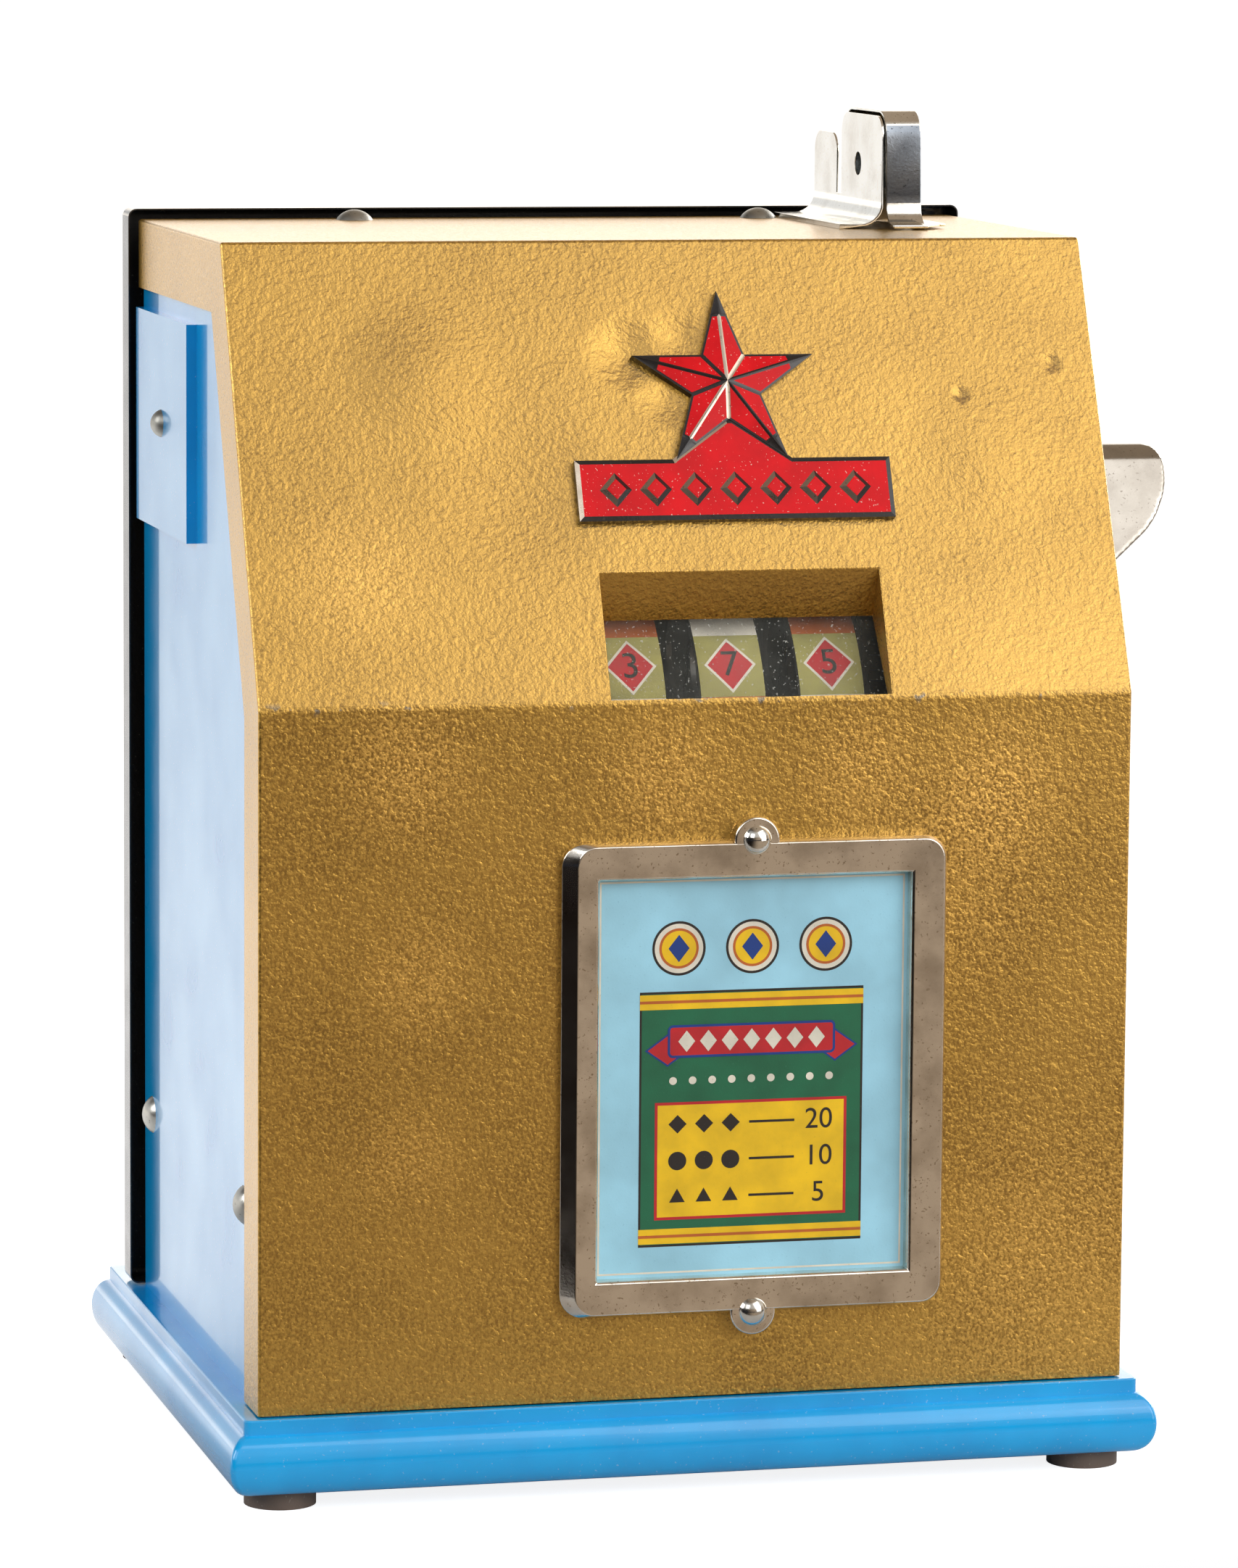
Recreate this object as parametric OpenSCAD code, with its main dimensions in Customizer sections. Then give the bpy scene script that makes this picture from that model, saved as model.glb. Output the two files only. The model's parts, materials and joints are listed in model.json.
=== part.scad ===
// Counter-top trade stimulator: a penny reel game with a gold sheet-metal front on a painted wooden case.
// Millimetres, +Z up, the front faces -Y. The origin is the middle of the base on the plane it stands on.

/* [Base] */
// Margin of the base past each side of the case
base_side = 9; // [6:0.5:20]
// Margin of the base in front of the case
base_front = 7.5; // [6:0.5:20]
// Margin of the base behind the case
base_back = 35.5; // [24:0.5:60]
// Thickness of the base board
base_t = 21; // [16:0.5:30]
// How far the round nosing stands past the upper step
nose_out = 5.5; // [3:0.5:6]
// Height of the upper step
step_h = 4; // [2:0.5:8]
// Radius of a foot
foot_r = 10; // [6:0.5:11]
// Height of a foot
foot_h = 5; // [3:0.5:12]
// Distance from a foot's centre to the edges of the base
foot_inset = 17; // [17:0.5:40]

/* [Case] */
// Width over the gold shell
case_w = 248; // [238:1:270]
// Height of the case above the base
case_h = 318.5; // [300:0.5:350]
// Depth of the case without the door
case_d = 182; // [178:1:220]
// Height of the upright part of the front
front_h = 195; // [188:1:205]
// How far the slope leans back
slope_run = 55; // [48:1:62]
// Thickness of the gold sheet
sheet_t = 1.5; // [1:0.1:2]
// Width of the flange folded round each side
flange_w = 20; // [14:0.5:22]
// Height of the skirt below the top
skirt_h = 19.5; // [12:0.5:26]
// Thickness of the wooden side panels
panel_t = 12; // [9:0.5:14]
// Depth of the wooden rail under the back of the top
rail_d = 20; // [18:1:24]
// Height of that rail
rail_h = 18; // [12:1:24]

/* [Reel window] */
// Width of the window
window_w = 80; // [76:0.5:84]
// Height of the window along the slope
window_h = 36.7; // [32:0.1:44]
// Window's middle, left of the right side of the case
window_in = 109.6; // [106:0.1:114]
// Window's lower edge above the fold
window_up = 0.9; // [0.5:0.1:4]
// Depth of the window's side walls
window_depth = 11; // [10:0.5:14]
// Depth of the flap that hangs from the window's upper edge
flap_d = 10.4; // [7:0.1:10.4]
// Depth of the lip along the window's lower edge
lip_d = 4; // [2:0.5:6]
// Thickness of the window glass
glass_t = 2; // [1.5:0.1:3]

/* [Card frame] */
// Width of the card frame
frame_w = 109.4; // [95:0.1:125]
// Height of the card frame
frame_h = 132.2; // [115:0.1:145]
// Width of its border
frame_border = 10.2; // [8:0.1:14]
// Thickness of the frame
frame_t = 5; // [4:0.1:7]
// Width of the flat rim outside the raised part
frame_rim = 2.4; // [1:0.1:3]
// Height of that rim
frame_rim_t = 3.2; // [2.4:0.1:3.6]
// Corner radius of the frame
frame_r = 6; // [4:0.5:10]
// Frame's middle, left of the right side of the case
frame_in = 109.2; // [104:0.1:124]
// Frame's lower edge above the base
frame_up = 24.6; // [18:0.1:34]
// Radius of the two screw lugs
lug_r = 6.5; // [6:0.1:8]
// Thickness of the award card
card_t = 0.6; // [0.3:0.1:1.2]
// How far the card reaches behind the frame
card_lap = 2.5; // [1.5:0.1:4]

/* [Badge] */
// Badge's middle, left of the right side of the case
badge_in = 109; // [104:0.1:124]
// Width of the badge's bar
bar_w = 90.5; // [80:0.5:110]
// Height of the bar
bar_h = 17.7; // [14:0.1:20]
// Bar's lower edge above the fold
bar_up = 51.8; // [48:0.1:56]
// Thickness of the badge's plate
badge_t = 2.6; // [2:0.1:4]
// Radius of the star's tips
star_r = 27.4; // [24:0.1:30]
// Rise of the star's middle over its plate
star_rise = 3; // [1.5:0.1:5]

/* [Coin head] */
// Left face of the coin head, left of the right side of the case
head_in = 44; // [40:0.5:48]
// Front of the coin head behind the front of the case
head_back = 106; // [104:0.5:112]
// Depth of its cheeks
head_d = 41; // [36:0.5:46]
// Height of its cheeks above the top
head_h = 32.5; // [28:0.5:40]
// Clear width between the cheeks
head_gap = 9; // [8:0.5:12]
// Thickness of its sheet
head_t = 1.5; // [1:0.1:2]
// Corner radius of its cheeks
head_r = 6; // [3:0.5:8]
// Width of its side feet
head_foot = 12.5; // [8:0.5:12.5]
// Depth of the lower tab behind the left cheek
tab_d = 24; // [18:0.5:24]
// Height of that tab
tab_h = 26; // [18:0.5:28]
// Gap between the left cheek and the tab
tab_gap = 5; // [3:0.5:8]
// Radius of the sight hole
sight_r = 3.4; // [2.5:0.1:5]
// Length of the coin slot
slot_l = 21; // [20:0.5:24]
// Width of the coin slot
slot_w = 2.6; // [2:0.1:3.2]

/* [Screws] */
// Radius of the large dome heads
dome_r = 5.5; // [4:0.1:6]
// Height of the large dome heads
dome_h = 3; // [2:0.1:4]
// Radius of the small dome heads
stud_r = 4; // [3:0.1:5]
// Height of the small dome heads
stud_h = 3; // [2:0.1:4]
// Radius of a screw's shank
shank_r = 1.8; // [1.2:0.1:2.2]
// Height of the side screws above the base
side_screw_up = 54; // [50:0.5:54]
// Front side screw behind the front of the case
side_screw_front = 28.5; // [28:0.5:40]
// Back side screw before the back of the case
side_screw_back = 12; // [10:0.5:24]
// Distance of the top screws from the sides of the case
top_screw_in = 62.5; // [54:0.5:84]
// Top screws before the back of the case
top_screw_back = 10; // [7:0.5:12]

/* [Side plate] */
// Depth of the cover plate on the left side
plate_d = 80; // [60:1:84]
// Height of the cover plate
plate_h = 62; // [50:1:64]
// Thickness of the cover plate
plate_t = 3; // [2:0.1:4]
// Lower edge of the cover plate above the base
plate_up = 231; // [220:1:234]
// Back edge of the cover plate before the back of the case
plate_back = 4; // [2:0.5:10]

/* [Back door] */
// Depth of the door pan
door_d = 12; // [10:0.5:14]
// Thickness of the door's sheet
door_t = 1.5; // [1:0.1:2]
// How far the door stands past the sides and the top
door_over = 3; // [1.5:0.1:4]
// Width of the door's front lip
door_lip = 14; // [10:0.5:18]
// Gap between the door and the case
door_gap = 0.5; // [0.3:0.1:1]
// Radius of a hinge knuckle
knuckle_r = 3; // [2.6:0.1:4]
// Radius of a hinge pin
hinge_pin_r = 1.6; // [1.2:0.1:1.8]
// Length of a hinge
hinge_l = 36; // [24:1:48]
// Thickness of a hinge leaf
leaf_t = 1.5; // [1:0.1:2]
// Lower hinge's middle above the base
hinge_low = 92; // [80:1:120]
// Upper hinge's middle above the base
hinge_high = 258; // [200:1:270]
// Radius of the lock body
lock_r = 9.5; // [8:0.1:10]
// Length of the lock body behind the door's sheet
lock_l = 22; // [20:0.5:26]
// Lock's middle inside the left panel
lock_in = 22; // [20:0.5:30]
// Height of the lock above the base
lock_up = 180; // [120:1:200]
// Reach of the lock's cam
cam_l = 19; // [15:0.5:19]
// Thickness of the lock's cam
cam_t = 2; // [1.5:0.1:3]

/* [Reels] */
// Radius of a reel drum
reel_r = 48; // [44:0.5:50]
// Width of a reel drum
reel_w = 18.4; // [16:0.1:19]
// Distance between the middles of the reels
reel_pitch = 28.5; // [28:0.1:30]
// Thickness of a reel's paper strip
strip_t = 0.4; // [0.2:0.1:0.6]
// Gap between the reels and the window glass
reel_gap = 1.2; // [1:0.1:4]
// Reels' middle, right of the window's middle
reel_shift = -1.4; // [-2:0.1:0]
// Reel axle's place along the slope above the fold
axle_up = 8; // [2:0.5:12]
// Radius of the reel axle
axle_r = 4; // [3:0.1:5]
// Radius of the stop wheels
stop_wheel_r = 26; // [24:0.5:28]
// Places where a reel can stop
stops = 12; // [8:2:16]

/* [Mechanism] */
// Top of the shelf above the base
shelf_up = 62; // [60:0.5:68]
// Thickness of the shelf plate
shelf_t = 2; // [1.5:0.1:3]
// Thickness of the mechanism's side plates
mech_t = 2; // [1.5:0.1:3]
// Running clearance of a shaft in its bearing
run_gap = 0.05; // [0.03:0.01:0.1]
// Handle shaft behind the reel axle
handle_back = 44.5; // [43:0.5:48]
// Handle shaft above the reel axle
handle_up = 13; // [8:0.5:18]
// Radius of the handle shaft
shaft_r = 5; // [4:0.1:6]
// Tooth size of the gears
gear_m = 2.5; // [2.3:0.1:2.6]
// Thickness of the gears
gear_t = 4; // [3:0.5:5]
// Free play between gear teeth
gear_play = 0.6; // [0.4:0.05:0.9]
// Radius of the governor's fan
fan_r = 20; // [16:0.5:22]

/* [Handle] */
// Radius of the handle's hub
hub_r = 11; // [9:0.5:13]
// Thickness of the handle's hub
hub_t = 10; // [8:0.5:14]
// Height of the thumb paddle's middle above the shaft
paddle_up = 55; // [50:1:60]
// Paddle's middle in front of the shaft
paddle_front = 25; // [20:1:32]
// Paddle's middle outside the case
paddle_out = 22; // [18:0.5:28]
// Half width of the paddle
paddle_r = 16; // [12:0.5:18]
// Half thickness of the paddle
paddle_t = 4; // [3:0.5:6]

/* [Cash tray] */
// Height of the cash tray
tray_h = 40; // [25:1:44]
// Wall of the cash tray
tray_t = 1.2; // [0.8:0.1:2]
// Gap between the tray and the side panels
tray_gap = 15; // [14.5:0.5:30]
// Gap between the tray and the front and the back of the case
tray_end = 14; // [8:0.5:30]

/* [Hidden] */
$fn = 96;
fit_gap = 0.02;
screw_gap = 0.1;
hole_past = 0.5;
end_play = 0.5;
shaft_past = 2;

// Places of the case in the frame of the part
base_w = case_w + 2 * base_side;
base_d = case_d + base_front + base_back;
front_y = base_front - base_d / 2;
back_y = front_y + case_d;
deck_z = foot_h + base_t;
fold_z = deck_z + front_h;
top_z = deck_z + case_h;
side_x = case_w / 2 - sheet_t;
inner_x = side_x - panel_t;
window_x = case_w / 2 - window_in;
frame_x = case_w / 2 - frame_in;
badge_x = case_w / 2 - badge_in;
head_x = case_w / 2 - head_in;
slope_a = atan2(slope_run, case_h - front_h);
under_top_z = top_z - sheet_t;

// Window and reels
win_left = window_x - window_w / 2;
win_right = window_x + window_w / 2;
win_top = window_up + window_h;
glass_lap = 4;
axle_depth = window_depth + glass_t + reel_gap + strip_t + reel_r;
axle_y = front_y + axle_up * sin(slope_a) + axle_depth * cos(slope_a);
axle_z = fold_z + axle_up * cos(slope_a) - axle_depth * sin(slope_a);
reel_mid_x = window_x + reel_shift;
reel_hub_r = 8;
reel_hub_gap = 0.6;
reel_wall = 2;
spoke_rim = 6;
web_t = 1.6;
wheel_t = 2;
wheel_off = 1.9;
kick_pin_r = 1.5;
kick_pin_l = 3.6;
kick_circle = stop_wheel_r - 6;
notch_d = 3.4;
notch_w = 4.6;

function reel_x(i) = reel_mid_x + (i - 2) * reel_pitch;
wheel_x = reel_w / 2 + wheel_off;
finger_x = wheel_x + wheel_t + 1.6;
finger_t = 2;
finger_w = 6;

// Mechanism plates stand just outside the reels and the kicker fingers
hub_half = (reel_pitch - reel_hub_gap) / 2;
plate_left_x = reel_x(1) - hub_half - reel_hub_gap - mech_t;
plate_right_x = reel_x(3) + finger_x + finger_t + 1.4;
plate_inner_x = plate_left_x + mech_t;
span_x = plate_left_x - shaft_past;
span_l = plate_right_x + mech_t + shaft_past - span_x;
shelf_z = deck_z + shelf_up;
mech_z = shelf_z + shelf_t;
mech_foot = 16;
hex_r = 4;
hex_h = 3;

// Gear train: the drive gear turns the kicker gear and the governor's pinion
drive_n = 36;
kicker_n = 24;
pinion_n = 12;
kicker_dir = -100;
governor_dir = -50;
gear_gap = 4;
boss_wall = 3;
gear_x = plate_right_x + mech_t + gear_gap;
handle_y = axle_y + handle_back;
handle_z = axle_z + handle_up;
kicker_c = gear_m * (drive_n + kicker_n) / 2;
governor_c = gear_m * (drive_n + pinion_n) / 2;
kicker_y = handle_y + kicker_c * cos(kicker_dir);
kicker_z = handle_z + kicker_c * sin(kicker_dir);
governor_y = handle_y + governor_c * cos(governor_dir);
governor_z = handle_z + governor_c * sin(governor_dir);
kicker_r = 4;
kicker_hub_r = 7.5;
kicker_reach = norm([kicker_y - axle_y, kicker_z - axle_z]) - kick_circle - kick_pin_r - 1.2;
kicker_aim = atan2(axle_z - kicker_z, axle_y - kicker_y);
arbor_r = 3;
fan_w = 13;
fan_x = inner_x - fan_w - 4;
fan_t = 1.2;
bushing_r = 8;
bushing_flange_r = 11;
bushing_flange_t = 2;
spring_r = 3;
spring_stud_r = 2;
spring_stud_l = 8;
spring_reach = 30;
spring_rise = 22.5;
spring_y = handle_y - spring_reach * cos(spring_rise);
stud_z = handle_z + spring_reach * sin(spring_rise);
spring_z = mech_z + mech_t;
hub_x = side_x + bushing_flange_t + 0.4;

// Stop levers hang on one shaft and swing their teeth into the stop wheels
stop_dir = -20;
stop_arm = 52;
stop_rho = stop_wheel_r + 7;
stop_lift = 0.7;
stop_tooth_w = 3;
lever_w = 6;
stop_hub_r = 6.5;
stop_r = 3;
stop_y = axle_y + stop_rho * cos(stop_dir) + stop_arm * sin(stop_dir);
stop_z = axle_z + stop_rho * sin(stop_dir) - stop_arm * cos(stop_dir);
lever_x = wheel_x;
lever_hub_x = lever_x - 1;
lever_hub_l = wheel_t + 2;
tie_r = 4;
tie_front_y = axle_y - 8;
tie_back_y = governor_y + 4;
tie_z = mech_z + 20;
plate_front_y = tie_front_y - 10;
plate_back_y = tie_back_y + 12;
back_screw_y = tie_back_y - 24;

frame_mid_z = frame_up + frame_h / 2;

// Coin head and the chute below it
head_y = front_y + head_back;
head_mid_x = head_x + head_t + head_gap / 2;
head_mid_y = head_y + head_d / 2;
head_front_foot = 8;
sight_z = top_z + 17.9;
rivet_z = top_z + 19.5;
side_foot = 7.5;
rivet_r = 7;
rivet_h = 4;
chute_t = 1.2;
chute_foot = 5;
trip_z = deck_z + 230;
trip_pin_r = 1.5;
trip_w = 6;
trip_t = 2;
trip_out = 5;
trip_tail = 9;
trip_x = head_mid_x + slot_w / 2 + chute_t + trip_out;
trip_drop = 8;
trip_play = 0.4;
trip_tip_gap = 0.6;
trip_boss = 1.2;
weight_l = 4;
weight_h = 6;
ear_t = 1.6;
ear_gap = 0.5;
ear_h = 8;
ear_past = 3;

// Door, hinges and lock
door_y = back_y + door_gap;
door_w = case_w + 2 * door_over;
door_z = deck_z + door_gap;
door_h = case_h + door_over - door_gap;
knuckle_gap = 0.35;
hinge_x = case_w / 2 + door_over + knuckle_r + knuckle_gap;
hinge_y = back_y + 0.2;
hinge_gap = 0.4;
hinge_wide = 18;
leaf_gap = 0.8;
hinge_zs = [deck_z + hinge_low, deck_z + hinge_high];
lock_x = -inner_x + lock_in;
lock_z = deck_z + lock_up;
lock_flange_r = lock_r + 2.5;
lock_flange_t = 2;
lock_plug_r = 6;
key_w = 1.6;
key_h = 8;
key_d = 6;
cam_w = 10;
cam_rim = 3;
keeper_t = 2;
keeper_reach = 12;
keeper_h = 34;
keeper_gap = 1;
keeper_tab = 6;
door_sheet_y = door_y + door_d - door_t;
cam_y = door_sheet_y - lock_l - cam_t;
hook_y = cam_y + cam_t + keeper_gap;

// Shelf, cleats and tray
cleat_w = 14;
cleat_h = 16;
cleat_past = 2;
shelf_end = 10;
shelf_y = front_y + shelf_end + sheet_t;
shelf_d = case_d - 2 * shelf_end - sheet_t;
tray_w = 2 * (inner_x - tray_gap);
tray_y = front_y + sheet_t + tray_end;
tray_d = case_d - sheet_t - 2 * tray_end;
plate_screw_in = 8;
shell_bite = 10;
shell_screw_l = panel_t + shell_bite;
top_bite = 12;
top_screw_l = sheet_t + top_bite;

// Draws in the plane of the upright front: X right, Y up from the base, Z out of the case
module on_front() {
    translate([0, front_y, deck_z]) rotate([90, 0, 0]) children();
}

// Draws in the plane of the slope: X right, Y up the slope from the fold, Z out of the case
module on_slope() {
    translate([0, front_y, fold_z]) rotate([90 - slope_a, 0, 0]) children();
}

// Extrudes a side view, whose axes are Y and Z, from x0 towards +X
module side_view(x0, t) {
    translate([x0, 0, 0]) rotate([90, 0, 90]) linear_extrude(t) children();
}

// A side view drawn about a shaft at y, z
module wheel_view(x0, t, y, z) {
    translate([0, y, z]) side_view(x0, t) children();
}

// Rounded rectangle about its middle
module rounded_rect(w, h, r) {
    square([w - 2 * r, h], center = true);
    square([w, h - 2 * r], center = true);
    for (sx = [-1, 1], sy = [-1, 1])
        translate([sx * (w / 2 - r), sy * (h / 2 - r)]) circle(r);
}

// Upright plate with its two upper corners rounded
module tab_shape(w, h, r) {
    square([w, h - r]);
    translate([r, 0]) square([w - 2 * r, h]);
    for (x = [r, w - r]) translate([x, h - r]) circle(r);
}

// Dome head with its flat face at z = 0
module dome(r, h) {
    ball_r = (r * r + h * h) / (2 * h);
    intersection() {
        translate([0, 0, h - ball_r]) sphere(ball_r);
        cylinder(r = r, h = h);
    }
}

// Dome-headed screw with its shank below z = 0
module dome_screw(r, h, l) {
    dome(r, h);
    translate([0, 0, -l]) cylinder(r = shank_r, h = l);
}

// Hole for a screw's shank, open at z = 0
module screw_hole(l) {
    translate([0, 0, -l]) cylinder(r = shank_r + screw_gap, h = l + 1);
}

// Corner points of the case's side outline, set in from the front, the slope and the top
function case_points(in_front, in_slope, in_top, in_back, up) = let(
    fold_in = front_h + (in_front * cos(slope_a) - in_slope) / sin(slope_a),
    top_in = case_h - in_top,
    edge_in = (sin(slope_a) * (top_in - front_h) + in_slope) / cos(slope_a)
) [
    [front_y + in_front, deck_z + up],
    [front_y + in_front, deck_z + fold_in],
    [front_y + edge_in, deck_z + top_in],
    [back_y - in_back, deck_z + top_in],
    [back_y - in_back, deck_z + up]
];

// Gear outline with rolled tooth flanks; the first tooth points along the first axis
function roll(a) = tan(a) * 180 / PI - a;
function flank(n, r) = let(
    pitch_r = gear_m * n / 2,
    root_r = pitch_r * cos(20)
) 90 / n - gear_play / 4 / pitch_r * 180 / PI + roll(20) - roll(acos(min(1, root_r / r)));
function gear_points(n) = let(
    pitch_r = gear_m * n / 2,
    low = max(pitch_r * cos(20), pitch_r - 1.15 * gear_m),
    foot = pitch_r - 1.15 * gear_m - 0.02,
    tip = pitch_r + 0.85 * gear_m,
    rise = [for (k = [0 : 3]) low + (tip - low) * k / 3]
) [
    for (i = [0 : n - 1]) let(mid = 360 * i / n) each concat(
        [foot * [cos(mid - flank(n, low)), sin(mid - flank(n, low))]],
        [for (r = rise) r * [cos(mid - flank(n, r)), sin(mid - flank(n, r))]],
        [for (k = [3 : -1 : 0]) let(r = rise[k]) r * [cos(mid + flank(n, r)), sin(mid + flank(n, r))]],
        [foot * [cos(mid + flank(n, low)), sin(mid + flank(n, low))]]
    )
];

// Outline of the base, from its lower face, across a width
module nosing_profile(w) {
    nose_h = base_t - step_h;
    arc_r = (nose_h * nose_h / 4 + nose_out * nose_out) / (2 * nose_out);
    translate([nose_out - w / 2, 0]) square([w - 2 * nose_out, base_t]);
    for (s = [-1, 1]) intersection() {
        translate([s * (w / 2 - arc_r), nose_h / 2]) circle(arc_r);
        translate([s * (w / 2 - nose_out / 2) - nose_out, 0]) square([2 * nose_out, nose_h]);
    }
}

module base_board() {
    color("dodgerblue") translate([0, 0, foot_h]) intersection() {
        rotate([90, 0, 0]) translate([0, 0, -base_d]) linear_extrude(2 * base_d) nosing_profile(base_w);
        rotate([90, 0, 90]) translate([0, 0, -base_w]) linear_extrude(2 * base_w) nosing_profile(base_d);
    }
}

module base_feet() {
    color("dimgray") for (sx = [-1, 1], sy = [-1, 1])
        translate([sx * (base_w / 2 - foot_inset), sy * (base_d / 2 - foot_inset), 0])
            cylinder(r = foot_r, h = foot_h);
}

// Places the two side screws of one side; the head points out of the case
module side_screw_places(side) {
    for (y = [front_y + side_screw_front, back_y - side_screw_back])
        translate([side * side_x, y, deck_z + side_screw_up]) rotate([0, side * 90, 0]) children();
}

module plate_screw_place() {
    translate([-side_x, back_y - plate_back - plate_d / 2, deck_z + plate_up + plate_h / 2])
        rotate([0, -90, 0]) children();
}

module side_panel(side) {
    difference() {
        side_view(side > 0 ? inner_x : -side_x, panel_t)
            polygon(case_points(sheet_t, sheet_t, sheet_t, 0, 0));
        side_screw_places(side) screw_hole(panel_t + 1);
    }
}

module left_side_panel() {
    color("deepskyblue") difference() {
        side_panel(-1);
        plate_screw_place() screw_hole(plate_screw_in + hole_past);
    }
}

module right_side_panel() {
    color("deepskyblue") difference() {
        side_panel(1);
        wheel_view(inner_x - 1, panel_t + 2, handle_y, handle_z) circle(bushing_r + fit_gap);
    }
}

module top_screw_places() {
    for (s = [-1, 1]) translate([s * (case_w / 2 - top_screw_in), back_y - top_screw_back, top_z]) children();
}

module top_rail() {
    color("burlywood") difference() {
        translate([-inner_x, back_y - rail_d, under_top_z - rail_h]) cube([2 * inner_x, rail_d, rail_h]);
        top_screw_places() screw_hole(top_screw_l + hole_past);
    }
}

// Walls folded in round the reel window
module window_walls() {
    flap_s = sheet_t * sqrt(2);
    on_slope() {
        for (x = [win_left - sheet_t, win_right])
            translate([x, window_up, -window_depth]) cube([sheet_t, window_h, window_depth]);
        translate([win_left - sheet_t, window_up - sheet_t, -lip_d])
            cube([window_w + 2 * sheet_t, sheet_t, lip_d - sheet_t / 2]);
    }
    on_slope() translate([win_left, 0, 0]) rotate([90, 0, 90]) linear_extrude(window_w)
        polygon([
            [win_top, 0],
            [win_top - flap_d, -flap_d],
            [win_top - flap_d + flap_s, -flap_d],
            [win_top + flap_s, 0]
        ]);
}

module front_shell() {
    color("goldenrod") difference() {
        union() {
            side_view(-case_w / 2, case_w) difference() {
                polygon(case_points(0, 0, 0, 0, 0));
                polygon(case_points(sheet_t, sheet_t, sheet_t, -1, -1));
            }
            for (x = [-case_w / 2, side_x]) side_view(x, sheet_t) difference() {
                polygon(case_points(0, 0, 0, 0, 0));
                polygon(case_points(flange_w, flange_w, skirt_h, -1, -1));
            }
            window_walls();
        }
        on_slope() translate([win_left, 0, 0]) rotate([90, 0, 90]) linear_extrude(window_w)
            polygon([
                [window_up, 1],
                [window_up, -sheet_t - hole_past],
                [win_top - sheet_t - hole_past, -sheet_t - hole_past],
                [win_top, 0],
                [win_top, 1]
            ]);
        translate([head_mid_x - slot_w / 2, head_mid_y - slot_l / 2, under_top_z - 1])
            cube([slot_w, slot_l, sheet_t + 2]);
        top_screw_places() screw_hole(sheet_t + 1);
    }
}

module window_glass() {
    color("lightcyan", 0.4) on_slope()
        translate([win_left - glass_lap, window_up, -window_depth - glass_t])
            cube([window_w + 2 * glass_lap, window_h, glass_t]);
}

module card_screw_places() {
    on_front() for (s = [-1, 1]) translate([frame_x, frame_mid_z + s * frame_h / 2, frame_rim_t]) children();
}

module card_frame() {
    open_w = frame_w - 2 * frame_border;
    open_h = frame_h - 2 * frame_border;
    color("silver") difference() {
        on_front() translate([frame_x, frame_mid_z, 0]) difference() {
            union() {
                linear_extrude(frame_rim_t) {
                    rounded_rect(frame_w, frame_h, frame_r);
                    for (s = [-1, 1]) translate([0, s * frame_h / 2]) circle(lug_r);
                }
                linear_extrude(frame_t) difference() {
                    rounded_rect(frame_w - 2 * frame_rim, frame_h - 2 * frame_rim, frame_r - frame_rim);
                    for (s = [-1, 1]) translate([0, s * frame_h / 2]) circle(lug_r);
                }
            }
            translate([-open_w / 2, -open_h / 2, -1]) cube([open_w, open_h, frame_t + 2]);
            translate([-open_w / 2 - card_lap, -open_h / 2 - card_lap, -1])
                cube([open_w + 2 * card_lap, open_h + 2 * card_lap, card_t + fit_gap + 1]);
        }
        card_screw_places() screw_hole(frame_rim_t + 1);
    }
}

module award_card() {
    card_w = frame_w - 2 * frame_border + 2 * card_lap - 2 * screw_gap;
    card_h = frame_h - 2 * frame_border + 2 * card_lap - 2 * screw_gap;
    color("lightskyblue") on_front() translate([frame_x - card_w / 2, frame_mid_z - card_h / 2, 0])
        cube([card_w, card_h, card_t]);
}

module card_frame_screws() {
    color("whitesmoke") card_screw_places() dome_screw(stud_r, stud_h, frame_rim_t - fit_gap);
}

function star_points(r) = let(notch = sin(18) / sin(54)) [
    for (k = [0 : 9]) (k % 2 == 0 ? r : r * notch) * [sin(36 * k), cos(36 * k)]
];

module star_badge() {
    bar_top = bar_up + bar_h;
    star_up = bar_top + star_r * cos(36);
    color("crimson") on_slope() translate([badge_x, 0, 0]) {
        translate([-bar_w / 2, bar_up, 0]) cube([bar_w, bar_h, badge_t]);
        linear_extrude(badge_t) translate([0, star_up]) polygon(star_points(star_r));
        linear_extrude(badge_t) polygon([
            [-star_r * sin(36), bar_top - 1],
            [-star_r * sin(36), bar_top],
            [0, star_up - star_r * sin(18) / sin(54)],
            [star_r * sin(36), bar_top],
            [star_r * sin(36), bar_top - 1]
        ]);
        translate([0, star_up, badge_t]) linear_extrude(star_rise, scale = 0.02) polygon(star_points(star_r));
    }
}

module coin_head_bracket() {
    color("gainsboro") difference() {
        union() {
            translate([0, 0, top_z]) {
                side_view(head_x, head_t) translate([head_y, 0]) tab_shape(head_d, head_h, head_r);
                side_view(head_x, head_t) translate([head_y + head_d + tab_gap, 0])
                    tab_shape(tab_d, tab_h, head_r);
                translate([head_x - head_foot, head_y - head_t, 0])
                    cube([head_foot + head_t, head_d + tab_gap + tab_d + head_t, head_t]);
            }
        }
        wheel_view(head_x - 1, head_t + 2, head_mid_y, sight_z) circle(sight_r);
    }
}

// Outline of the strip that wraps the cheeks: front, top and back
module strip_outline() {
    difference() {
        translate([-head_t, 0]) tab_shape(head_d + 2 * head_t, head_h + head_t, head_r + head_t);
        translate([0, -1]) tab_shape(head_d, head_h + 1, head_r);
    }
}

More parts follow.
